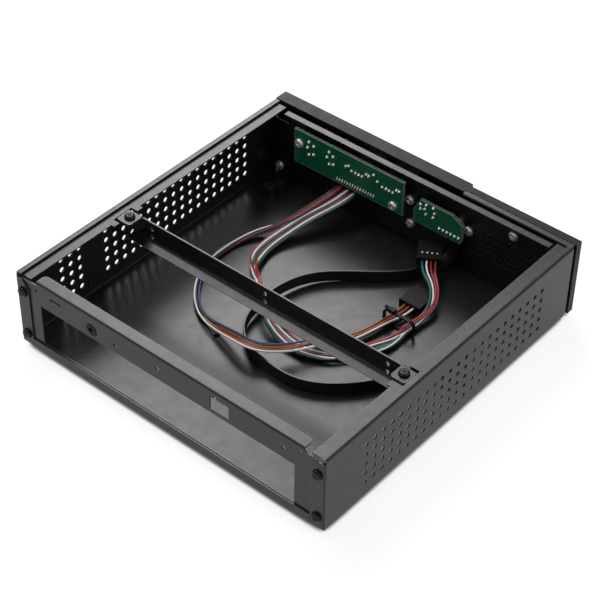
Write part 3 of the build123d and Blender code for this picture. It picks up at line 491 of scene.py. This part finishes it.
def finish(name, colour, roughness, grain, depth, mottle=0.25, **sockets):
    """A material whose colour and roughness vary a little, with a fine bump."""
    material = bpy.data.materials.new(name)
    material.use_nodes = True
    nodes, links = material.node_tree.nodes, material.node_tree.links
    shader = nodes["Principled BSDF"]
    for socket, value in sockets.items():
        shader.inputs[socket.replace("_", " ")].default_value = value
    where = nodes.new("ShaderNodeTexCoord")
    fine = nodes.new("ShaderNodeTexNoise")
    fine.inputs["Scale"].default_value = 1 / (grain * MM)
    fine.inputs["Detail"].default_value = FINE_DETAIL
    links.new(where.outputs["Object"], fine.inputs["Vector"])
    bump = nodes.new("ShaderNodeBump")
    bump.inputs["Distance"].default_value = depth * MM
    bump.inputs["Strength"].default_value = 1.0
    links.new(fine.outputs["Fac"], bump.inputs["Height"])
    links.new(bump.outputs["Normal"], shader.inputs["Normal"])
    broad = nodes.new("ShaderNodeTexNoise")
    broad.inputs["Scale"].default_value = 1 / (grain * MM * BROAD_TIMES)
    broad.inputs["Detail"].default_value = BROAD_DETAIL
    links.new(where.outputs["Object"], broad.inputs["Vector"])
    rough = nodes.new("ShaderNodeMapRange")
    rough.inputs["To Min"].default_value = roughness * (1 - mottle)
    rough.inputs["To Max"].default_value = min(roughness * (1 + mottle), 1.0)
    links.new(broad.outputs["Fac"], rough.inputs["Value"])
    links.new(rough.outputs["Result"], shader.inputs["Roughness"])
    shade = nodes.new("ShaderNodeMix")
    shade.data_type = "RGBA"
    shade.inputs["A"].default_value = (*[c * (1 - mottle) for c in colour], 1)
    shade.inputs["B"].default_value = (*[min(c * (1 + mottle), 1) for c in colour], 1)
    links.new(broad.outputs["Fac"], shade.inputs["Factor"])
    links.new(shade.outputs["Result"], shader.inputs["Base Color"])
    return material


def paint_edge_highlight(material, radius, colour, amount):
    """Paints a paler colour on the edges of a finish: a painted highlight where the edges catch the
    light.
    """
    nodes, links = material.node_tree.nodes, material.node_tree.links
    shader = nodes["Principled BSDF"]
    round_edge = nodes.new("ShaderNodeBevel")
    round_edge.samples = BEVEL_SAMPLES
    round_edge.inputs["Radius"].default_value = radius * MM
    flat = nodes.new("ShaderNodeNewGeometry")
    same = nodes.new("ShaderNodeVectorMath")
    same.operation = "DOT_PRODUCT"
    links.new(round_edge.outputs["Normal"], same.inputs[0])
    links.new(flat.outputs["Normal"], same.inputs[1])
    edge = nodes.new("ShaderNodeMapRange")
    edge.inputs["From Min"].default_value = FLAT_FACE
    edge.inputs["From Max"].default_value = FULL_EDGE
    edge.inputs["To Max"].default_value = amount
    links.new(same.outputs["Value"], edge.inputs["Value"])
    mix = nodes.new("ShaderNodeMix")
    mix.data_type = "RGBA"
    links.new(edge.outputs["Result"], mix.inputs["Factor"])
    links.new(shader.inputs["Base Color"].links[0].from_socket, mix.inputs["A"])
    mix.inputs["B"].default_value = (*colour, 1)
    links.new(mix.outputs["Result"], shader.inputs["Base Color"])
    return material


# The paler edges of the paint and of the bezel are a painted highlight.
powder_coat = paint_edge_highlight(finish("black_powder_coat", (0.010, 0.010, 0.011), 0.32, 0.4, 0.028),
                         0.35, (0.22, 0.22, 0.23), 0.8)
bezel_plastic = paint_edge_highlight(finish("bezel_plastic", (0.012, 0.012, 0.013), 0.44, 0.5, 0.03,
                                  Specular_IOR_Level=0.2),
                           0.4, (0.12, 0.12, 0.12), 0.5)
black_plastic = finish("black_plastic", (0.006, 0.006, 0.007), 0.5, 0.8, 0.02, Specular_IOR_Level=0.2)
black_oxide = finish("black_oxide", (0.015, 0.015, 0.016), 0.3, 0.2, 0.01, Metallic=0.6)
nickel = finish("bright_nickel", (0.88, 0.87, 0.85), 0.28, 0.25, 0.008, mottle=0.1, Metallic=0.7)
plated_steel = finish("plated_steel", (0.6, 0.6, 0.6), 0.28, 0.3, 0.008, Metallic=1.0)
solder = finish("solder", (0.9, 0.9, 0.9), 0.28, 0.4, 0.03, mottle=0.1, Metallic=0.5)
natural_plastic = finish("natural_plastic", (0.66, 0.63, 0.55), 0.4, 0.6, 0.015)
rubber = finish("foot_rubber", (0.014, 0.014, 0.014), 0.75, 0.3, 0.05)
cable_cover = finish("flat_cable_cover", (0.008, 0.008, 0.009), 0.3, 1.2, 0.03)
clear_plastic = finish("clear_plastic", (0.9, 0.95, 1.0), 0.12, 1.0, 0.005,
                       Transmission_Weight=0.9, IOR=1.49)
print("finishes:", len(bpy.data.materials))

# %% [markdown]
# ### Wire covers and circuit boards
# A wire cover takes its colour from the attribute that its mesh carries. A circuit board has a
# green lacquer on both faces, with copper tracks that show through it a little lighter. Its cut
# edges are duller, and their corners are painted pale: partly the glass fibre of the cut, partly a
# painted highlight where the corners catch the light. The faces of these boards look forward and
# back, so the direction of a surface tells face from edge.

# %% Wire cover and circuit board
TRACK_LENGTH, TRACK_WIDTH = 9, 0.03


def wire_cover():
    """Thin plastic cover in the colour that the mesh carries."""
    material = finish("wire_cover", (0.5, 0.5, 0.5), 0.32, 1.5, 0.02)
    nodes, links = material.node_tree.nodes, material.node_tree.links
    cover = nodes.new("ShaderNodeVertexColor")
    cover.layer_name = "cover"
    links.new(cover.outputs["Color"], nodes["Principled BSDF"].inputs["Base Color"])
    return material


def circuit_board():
    """Green lacquer with faint tracks on the faces, and a duller green on the edges."""
    material = finish("circuit_board", (0.006, 0.12, 0.055), 0.3, 0.8, 0.01)
    nodes, links = material.node_tree.nodes, material.node_tree.links
    shader = nodes["Principled BSDF"]
    where = nodes.new("ShaderNodeTexCoord")
    upright = nodes.new("ShaderNodeMapping")
    upright.inputs["Rotation"].default_value = (math.pi / 2, 0, 0)
    tracks = nodes.new("ShaderNodeTexBrick")
    tracks.inputs["Scale"].default_value = 1 / (TRACK_LENGTH * MM)
    tracks.inputs["Mortar Size"].default_value = TRACK_WIDTH
    tracks.inputs["Color1"].default_value = (0.005, 0.115, 0.052, 1)
    tracks.inputs["Color2"].default_value = (0.008, 0.14, 0.065, 1)
    tracks.inputs["Mortar"].default_value = (0.013, 0.21, 0.10, 1)
    links.new(where.outputs["Object"], upright.inputs["Vector"])
    links.new(upright.outputs["Vector"], tracks.inputs["Vector"])
    direction = nodes.new("ShaderNodeNewGeometry")
    parts = nodes.new("ShaderNodeSeparateXYZ")
    size = nodes.new("ShaderNodeMath")
    size.operation = "ABSOLUTE"
    links.new(direction.outputs["Normal"], parts.inputs["Vector"])
    links.new(parts.outputs["Y"], size.inputs[0])
    mix = nodes.new("ShaderNodeMix")
    mix.data_type = "RGBA"
    mix.inputs["A"].default_value = (0.07, 0.15, 0.08, 1)
    links.new(size.outputs[0], mix.inputs["Factor"])
    links.new(tracks.outputs["Color"], mix.inputs["B"])
    links.new(mix.outputs["Result"], shader.inputs["Base Color"])
    return material


wire_plastic = wire_cover()
# The pale corners of the boards are glass fibre and a painted highlight.
board_green = paint_edge_highlight(circuit_board(), 0.45, (0.85, 0.9, 0.82), 1.0)
print("wire cover and circuit board are ready")

# %% [markdown]
# ## Many of the same: screws, solder joints and vent edges
# The case has thirteen screws, 55 solder joints and 230 vent holes. Copies made by hand would be
# hard to change, so Geometry Nodes makes each set from one small shape. The first tree puts a piece
# on every point of a mesh and turns it by the point's own `turn`. The second lays out a grid of
# rings on both side walls. Both end in Realize Instances and Set Material, so that the result can be
# kept as a plain mesh.

# %% Tree that repeats a piece on points
def new_tree(name, inputs):
    """An empty tree with a geometry socket and the named inputs."""
    tree = bpy.data.node_groups.new(name, "GeometryNodeTree")
    tree.interface.new_socket("Geometry", in_out="INPUT", socket_type="NodeSocketGeometry")
    for label, kind in inputs:
        tree.interface.new_socket(label, in_out="INPUT", socket_type=kind)
    tree.interface.new_socket("Geometry", in_out="OUTPUT", socket_type="NodeSocketGeometry")
    return tree, tree.nodes.new("NodeGroupInput"), tree.nodes.new("NodeGroupOutput")


def end_tree(tree, geometry, source, out):
    """Realizes the instances and gives them the material."""
    real = tree.nodes.new("GeometryNodeRealizeInstances")
    paint = tree.nodes.new("GeometryNodeSetMaterial")
    tree.links.new(geometry, real.inputs["Geometry"])
    tree.links.new(real.outputs["Geometry"], paint.inputs["Geometry"])
    tree.links.new(source.outputs["Material"], paint.inputs["Material"])
    tree.links.new(paint.outputs["Geometry"], out.inputs["Geometry"])


def repeat_tree():
    """Puts a piece on every point, turned and stretched by the point's attributes."""
    tree, source, out = new_tree("repeat_piece", (
        ("Piece", "NodeSocketObject"), ("Material", "NodeSocketMaterial")))
    look = tree.nodes.new("GeometryNodeObjectInfo")
    put = tree.nodes.new("GeometryNodeInstanceOnPoints")
    turn_by = tree.nodes.new("GeometryNodeInputNamedAttribute")
    turn_by.data_type = "FLOAT_VECTOR"
    turn_by.inputs["Name"].default_value = "turn"
    euler = tree.nodes.new("FunctionNodeEulerToRotation")
    stretch = tree.nodes.new("GeometryNodeInputNamedAttribute")
    stretch.data_type = "FLOAT_VECTOR"
    stretch.inputs["Name"].default_value = "stretch"
    tree.links.new(source.outputs["Piece"], look.inputs["Object"])
    tree.links.new(source.outputs["Geometry"], put.inputs["Points"])
    tree.links.new(look.outputs["Geometry"], put.inputs["Instance"])
    tree.links.new(turn_by.outputs["Attribute"], euler.inputs["Euler"])
    tree.links.new(euler.outputs["Rotation"], put.inputs["Rotation"])
    tree.links.new(stretch.outputs["Attribute"], put.inputs["Scale"])
    end_tree(tree, put.outputs["Instances"], source, out)
    return tree


def with_tree(name, mesh, tree, values):
    """Runs a tree on a mesh with the given inputs and keeps the result as a plain mesh."""
    host = bpy.data.objects.new(name + "_points", mesh)
    bpy.context.collection.objects.link(host)
    modifier = host.modifiers.new("repeat", "NODES")
    modifier.node_group = tree
    for socket in tree.interface.items_tree:
        if socket.in_out == "INPUT" and socket.name in values:
            modifier[socket.identifier] = values[socket.name]
    made = bpy.data.meshes.new_from_object(host.evaluated_get(bpy.context.evaluated_depsgraph_get()))
    host.modifiers.remove(modifier)
    bpy.data.objects.remove(host)
    made.name = name
    piece = bpy.data.objects.new(name, made)
    bpy.context.collection.objects.link(piece)
    print(name, "has", len(made.polygons), "faces")
    return piece


REPEAT = repeat_tree()
print("the repeating tree has", len(REPEAT.nodes), "nodes")


def repeated(name, piece_mesh, places, material):
    """One object with a piece at each place: a point, a turn and a stretch."""
    points = bpy.data.meshes.new(name + "_points")
    points.from_pydata([place(*spot) for spot, _, _ in places], [], [])
    for label, values in (("turn", [t for _, t, _ in places]), ("stretch", [s for _, _, s in places])):
        store = points.attributes.new(label, "FLOAT_VECTOR", "POINT")
        for item, value in zip(store.data, values):
            item.vector = value
    pattern = bpy.data.objects.new(name + "_pattern", piece_mesh)
    bpy.context.collection.objects.link(pattern)
    piece = with_tree(name, points, REPEAT, {"Piece": pattern, "Material": material})
    bpy.data.objects.remove(pattern)
    return piece


# %% [markdown]
# ### The small shapes
# A pan head screw and a solder joint are both round, so a few rings turned about an axis give them.
# The cross recess is what tells a screw from a rivet: its twelve-cornered outline is sunk into the
# flat top, and the ring between outline and head is filled with triangles. Both shapes stay small,
# because they are repeated.

# %% Shapes to repeat
HEAD_RADIUS, HEAD_HEIGHT, HEAD_FLAT, HEAD_SIDES = 2.8, 1.7, 1.75, 16
HEAD_BULGE, SMOOTH_FROM, SMOOTH_TO = ((1, 0), (1, 0.36), (0.9, 0.72)), 0.3, 0.95
SHANK_RADIUS, TIP_RADIUS, TIP_LENGTH = 1.45, 1.45 * 0.6, 0.7
RECESS_REACH, RECESS_WIDTH, RECESS_DEPTH, RECESS_TAPER = 1.55, 0.55, 0.85, 0.72
JOINT_PROFILE, JOINT_SIDES = ((0.85, 0), (0.52, 0.22), (0.32, 0.6), (0.26, 1.0), (0.14, 1.12)), 8


def lathed(profile, sides):
    """Rings of points from radius and height pairs, and the faces between the rings."""
    angles = [math.tau * i / sides for i in range(sides)]
    points = [Vector((radius * math.cos(angle), radius * math.sin(angle), height)) * MM
              for radius, height in profile for angle in angles]
    return points, tube_faces(len(profile), sides)


def screw_shape(length):
    """A pan head screw, head up, with a cross recess whose walls lean inwards."""
    bulge = [(HEAD_RADIUS * out, HEAD_HEIGHT * rise) for out, rise in HEAD_BULGE]
    profile = ((TIP_RADIUS, -length), (SHANK_RADIUS, -length + TIP_LENGTH), (SHANK_RADIUS, 0),
               *bulge, (HEAD_FLAT, HEAD_HEIGHT))
    points, faces = lathed(profile, HEAD_SIDES)
    faces.pop()
    reach, half = RECESS_REACH, RECESS_WIDTH / 2
    cross = ((reach, -half), (reach, half), (half, half), (half, reach), (-half, reach), (-half, half),
             (-reach, half), (-reach, -half), (-half, -half), (-half, -reach), (half, -reach),
             (half, -half))
    first, corners = len(points), len(cross)
    points += [Vector((x, y, HEAD_HEIGHT)) * MM for x, y in cross]
    points += [Vector((x * RECESS_TAPER, y * RECESS_TAPER, HEAD_HEIGHT - RECESS_DEPTH)) * MM
               for x, y in cross]
    for i in range(corners):
        a, b = first + i, first + (i + 1) % corners
        faces.append((b, a, a + corners, b + corners))
    faces.append(tuple(first + corners + i for i in range(corners)))
    mesh = bpy.data.meshes.new("screw")
    mesh.from_pydata(points, [], faces)
    work = bmesh.new()
    work.from_mesh(mesh)
    work.edges.ensure_lookup_table()
    rim = [edge for edge in work.edges if edge.is_boundary]
    bmesh.ops.triangle_fill(work, edges=rim, use_beauty=True)
    for face in work.faces:
        height = face.calc_center_median().z / MM
        face.smooth = HEAD_HEIGHT * SMOOTH_FROM < height < HEAD_HEIGHT * SMOOTH_TO
    bmesh.ops.recalc_face_normals(work, faces=work.faces)
    work.to_mesh(mesh)
    work.free()
    return mesh


def joint_shape():
    """A solder joint: a cone with hollow sides that climbs the cut end of a pin."""
    points, faces = lathed(JOINT_PROFILE, JOINT_SIDES)
    mesh = bpy.data.meshes.new("joint")
    mesh.from_pydata(points, [], faces)
    for polygon in mesh.polygons:
        polygon.use_smooth = len(polygon.vertices) == 4
    faces_outward(mesh)
    return mesh


SCREW_LENGTH, SHORT_SCREW_LENGTH = 6.0, 3.2
screw_mesh, short_screw_mesh = screw_shape(SCREW_LENGTH), screw_shape(SHORT_SCREW_LENGTH)
joint_mesh = joint_shape()
print("screw", len(screw_mesh.polygons), "faces, joint", len(joint_mesh.polygons), "faces")

# %% [markdown]
# ### Where the screws go
# Four black screws hold the rear panel and two hold the bar. Bright ones hold the bezel on the
# front sheet, and the long board. Screws that look to the rear are turned a quarter back. Nobody
# lines up the cross of a screw with the next one, so each has it at an angle of its own, from a
# fixed seed.

# %% Screws
REAR, SHEET_BACK, BOARD_REAR, BAR_TOP = 198.7, 13.3, 18.8, 43.0
REAR_CORNERS = [(x, REAR, z) for x in (-91.5, 91.5) for z in (7.2, 33.9)]
BEZEL_PLACES = [(x, SHEET_BACK, z) for x, z in
                ((0.3, 27.1), (-37.1, 26.4), (-63.7, 37.4), (-1.0, 12.7), (88.5, 6.0))]
BOARD_PLACES = [(x, BOARD_REAR, z) for x, z in ((70.3, 32.4), (7.0, 23.0))]
BAR_PLACES = [(x, 132.2, BAR_TOP) for x in (-86.6, 84.6)]
spin = random.Random(4)
BACKWARD, WHOLE = -math.pi / 2, (1, 1, 1)


def looking_back(places):
    """Turns screws so that their heads look to the rear."""
    return [(spot, (BACKWARD, spin.uniform(0, math.pi / 2), 0), WHOLE) for spot in places]


def looking_up(places):
    """Screws that keep their heads up."""
    return [(spot, (0, 0, spin.uniform(0, math.pi / 2)), WHOLE) for spot in places]


screw_sets = {
    "rear_corner_screws": repeated("rear_screws", screw_mesh, looking_back(REAR_CORNERS), black_oxide),
    "bezel_screws": repeated("front_screws", screw_mesh, looking_back(BEZEL_PLACES), nickel),
    "board_screws": repeated("port_board_screws", screw_mesh, looking_back(BOARD_PLACES), nickel),
    "bar_screws": repeated("bar_top_screws", short_screw_mesh, looking_up(BAR_PLACES), black_oxide),
}

# %% [markdown]
# ### Where the solder goes
# Every pin of a socket on the front of a board comes out at the rear in a small bright cone. The
# pattern of the cones tells what sits in front: two audio sockets, two USB sockets, a row of pins
# for the looms, and on the small board the switch, the lamp and the cable socket. The photograph
# shows these cones, so their places were read from it. The joint shape is widened for the pads,
# drawn out for the row of pins, and pressed flat for the four contacts of the plug.

# %% Solder joints and plug contacts
PAD_SIZE, JACK_PAD_SIZE, PIN_STRETCH, CONTACT_STRETCH = 1.2, 1.35, (0.62, 1.7, 1.0), (0.7, 0.9, 0.3)
JACK_PADS = ((63.9, 36.1), (64.8, 32.2), (60.6, 34.7), (63.7, 28.0), (60.6, 29.5),
             (50.2, 36.2), (51.5, 32.4), (47.5, 34.4), (49.9, 28.7), (47.2, 29.6))
USB_PADS = ((38.8, 32.9), (37.0, 33.8), (34.9, 31.5), (32.3, 31.5), (30.0, 31.4), (27.8, 31.5),
            (25.1, 34.2), (23.5, 33.7), (20.4, 36.2), (17.8, 33.2), (14.5, 31.4), (12.0, 31.4),
            (10.0, 31.1), (7.6, 31.2), (5.3, 33.9), (3.6, 33.8))
SWITCH_PADS = ((-10.3, 33.0), (-13.8, 34.1), (-10.4, 30.2), (-13.1, 31.3), (-18.3, 34.3), (-13.9, 28.3),
               (-19.3, 31.4), (-18.5, 28.4))
CABLE_PADS = [(-22.8 - 2.42 * i, 23.7) for i in range(6)]
HEADER_PINS = [(44.2 - 1.743 * i, 21.9 + 0.04 * i) for i in range(15)]
joints = [((x, BOARD_REAR, z), (BACKWARD, 0, 0), (size, size, 1)) for pads, size in (
    (JACK_PADS, JACK_PAD_SIZE), (USB_PADS, PAD_SIZE), (SWITCH_PADS, PAD_SIZE), (CABLE_PADS, PAD_SIZE))
    for x, z in pads]
joints += [((x, BOARD_REAR, z), (BACKWARD, 0, 0), PIN_STRETCH) for x, z in HEADER_PINS]
solder_joints = repeated("solder_joints", joint_mesh, joints, solder)
print("there are", len(joints), "solder joints")
PLUG_CENTRE, PLUG_TURN, PLUG_TOP = (-22.5, 25.0), math.radians(32.7), 13.4
CONTACTS, CONTACT_PITCH, CONTACT_SHIFT = 4, 2.54, 2.5
along_plug = Vector((-math.sin(PLUG_TURN), math.cos(PLUG_TURN)))
across_plug = Vector((math.cos(PLUG_TURN), math.sin(PLUG_TURN)))
contacts = []
for i in range(CONTACTS):
    from_middle = i - (CONTACTS - 1) / 2
    spot = Vector(PLUG_CENTRE) + across_plug * from_middle * CONTACT_PITCH + along_plug * CONTACT_SHIFT
    contacts.append(((spot.x, spot.y, PLUG_TOP), (0, 0, PLUG_TURN), CONTACT_STRETCH))
plug_contacts = repeated("plug_contacts", joint_mesh, contacts, solder)

# %% [markdown]
# ### The vent holes
# A punched hole is round and its rim is slightly rolled in. The solids cut each hole with eight
# flat sides, which is fine for fitting and too coarse for the eye. A thin ring in every hole rounds
# it. A grid, a circle and a square section make the rings by rule, so their number and pitch are
# inputs of the tree, and two points, one in each wall, say where the grids stand.

# %% Round edges of the vent holes
RING_SIDES = 14


def ring_grid_tree():
    """A grid of rings standing in a wall that faces sideways."""
    tree, source, out = new_tree("vent_edges", (
        ("Columns", "NodeSocketInt"), ("Rows", "NodeSocketInt"), ("Pitch Y", "NodeSocketFloat"),
        ("Pitch Z", "NodeSocketFloat"), ("Radius", "NodeSocketFloat"), ("Edge Width", "NodeSocketFloat"),
        ("Edge Depth", "NodeSocketFloat"), ("Material", "NodeSocketMaterial")))
    nodes, links = tree.nodes, tree.links

    def span(count, pitch):
        """Distance from the first to the last of a row."""
        gaps, run = nodes.new("ShaderNodeMath"), nodes.new("ShaderNodeMath")
        gaps.operation, gaps.inputs[1].default_value = "SUBTRACT", 1
        run.operation = "MULTIPLY"
        links.new(source.outputs[count], gaps.inputs[0])
        links.new(gaps.outputs[0], run.inputs[0])
        links.new(source.outputs[pitch], run.inputs[1])
        return run.outputs[0]

    grid = nodes.new("GeometryNodeMeshGrid")
    links.new(span("Columns", "Pitch Y"), grid.inputs["Size X"])
    links.new(span("Rows", "Pitch Z"), grid.inputs["Size Y"])
    links.new(source.outputs["Columns"], grid.inputs["Vertices X"])
    links.new(source.outputs["Rows"], grid.inputs["Vertices Y"])
    circle = nodes.new("GeometryNodeCurvePrimitiveCircle")
    circle.inputs["Resolution"].default_value = RING_SIDES
    links.new(source.outputs["Radius"], circle.inputs["Radius"])
    section = nodes.new("GeometryNodeCurvePrimitiveQuadrilateral")
    links.new(source.outputs["Edge Width"], section.inputs["Width"])
    links.new(source.outputs["Edge Depth"], section.inputs["Height"])
    ring = nodes.new("GeometryNodeCurveToMesh")
    links.new(circle.outputs["Curve"], ring.inputs["Curve"])
    links.new(section.outputs["Curve"], ring.inputs["Profile Curve"])
    put = nodes.new("GeometryNodeInstanceOnPoints")
    links.new(grid.outputs["Mesh"], put.inputs["Points"])
    links.new(ring.outputs["Mesh"], put.inputs["Instance"])
    upright = nodes.new("GeometryNodeTransform")
    upright.inputs["Rotation"].default_value = (math.pi / 2, 0, math.pi / 2)
    links.new(put.outputs["Instances"], upright.inputs["Geometry"])
    walls = nodes.new("GeometryNodeInstanceOnPoints")
    links.new(source.outputs["Geometry"], walls.inputs["Points"])
    links.new(upright.outputs["Geometry"], walls.inputs["Instance"])
    end_tree(tree, walls.outputs["Instances"], source, out)
    return tree


VENT_COLUMNS, VENT_ROWS = 23, 5
FIRST_VENT, LAST_VENT_TO_REAR, TOP_VENT = 34.7, 28.6, 33.4
VENT_PITCH_Y, VENT_PITCH_Z = (REAR - FIRST_VENT - LAST_VENT_TO_REAR) / (VENT_COLUMNS - 1), 6.1
VENT_MIDDLE = (FIRST_VENT + VENT_PITCH_Y * (VENT_COLUMNS - 1) / 2,
               TOP_VENT - VENT_PITCH_Z * (VENT_ROWS - 1) / 2)
EDGE_RADIUS, EDGE_WIDTH, EDGE_DEPTH = 1.60, 0.2, 0.78
WALL_MIDDLE = 95.45
wall_points = bpy.data.meshes.new("vent_walls")
wall_points.from_pydata([place(x, *VENT_MIDDLE) for x in (-WALL_MIDDLE, WALL_MIDDLE)], [], [])
vent_edges = with_tree("vent_edges", wall_points, ring_grid_tree(), {
    "Columns": VENT_COLUMNS, "Rows": VENT_ROWS,
    "Pitch Y": VENT_PITCH_Y * MM, "Pitch Z": VENT_PITCH_Z * MM, "Radius": EDGE_RADIUS * MM,
    "Edge Width": EDGE_WIDTH * MM, "Edge Depth": EDGE_DEPTH * MM, "Material": powder_coat})
faces_outward(vent_edges.data)

# %% [markdown]
# ## Materials on the CAD pieces
# Pieces whose shape is already right keep their CAD mesh and only get a finish. One table says which
# finish each of them has, so that pieces of the same stuff can't drift apart.

# %% Dress the CAD nodes
DRESS = {
    powder_coat: ("outer_shell", "rear_panel", "front_sheet", "rail_left", "rail_right", "cross_bar",
                  "wall_stiffener", "board_standoffs"),
    bezel_plastic: ("bezel", "power_button"),
    black_plastic: ("cable_hole_grommet", "headphone_jack", "microphone_jack", "usb_port_1_tongue",
                    "usb_port_2_tongue", "usb_plug", "audio_plug", "ribbon_plug", "cable_tie",
                    "io_header", "ribbon_socket", "power_switch"),
    nickel: ("board_spacers",),
    plated_steel: ("usb_port_1_shell", "usb_port_2_shell"),
    natural_plastic: ("switch_plunger", "power_lamp"),
    board_green: ("io_board", "power_board"),
    clear_plastic: ("light_guide",),
    rubber: ("foot_front_left", "foot_front_right", "foot_rear_left", "foot_rear_right"),
}
dressed = 0
for material, names in DRESS.items():
    for name in names:
        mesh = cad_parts[name].data
        mesh.materials.clear()
        mesh.materials.append(material)
        dressed += 1
print(dressed, "CAD nodes dressed")

# %% [markdown]
# ## What each new piece is
# The case can be repainted and its button can be moved, so every new piece is hung on the body it
# rides on, and where a piece stands for a solid, that solid is hidden. All of them ride on the case.

for node, piece in screw_sets.items():
    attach(piece, "case")
    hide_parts(node)
for piece, slot in ((solder_joints, "port_metal"), (plug_contacts, "port_metal"),
                    (vent_edges, "black_sheet")):
    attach(piece, "case")
print(len(screw_sets), "screw sets stand for solids")

# %% [markdown]
# ### The cords
# Each cord gets the material of its cover and rides on the case, and the CAD solid it stands for is
# hidden. The two looms are limp and the flat cable is stiffer.

for piece, material, slot in ((usb_loom, wire_plastic, "wire_cover"),
                              (audio_loom, wire_plastic, "wire_cover"),
                              (ribbon, cable_cover, "ribbon_black")):
    piece.data.materials.append(material)
    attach(piece, "case")
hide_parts("usb_loom")
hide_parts("audio_loom")
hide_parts("ribbon_cable")
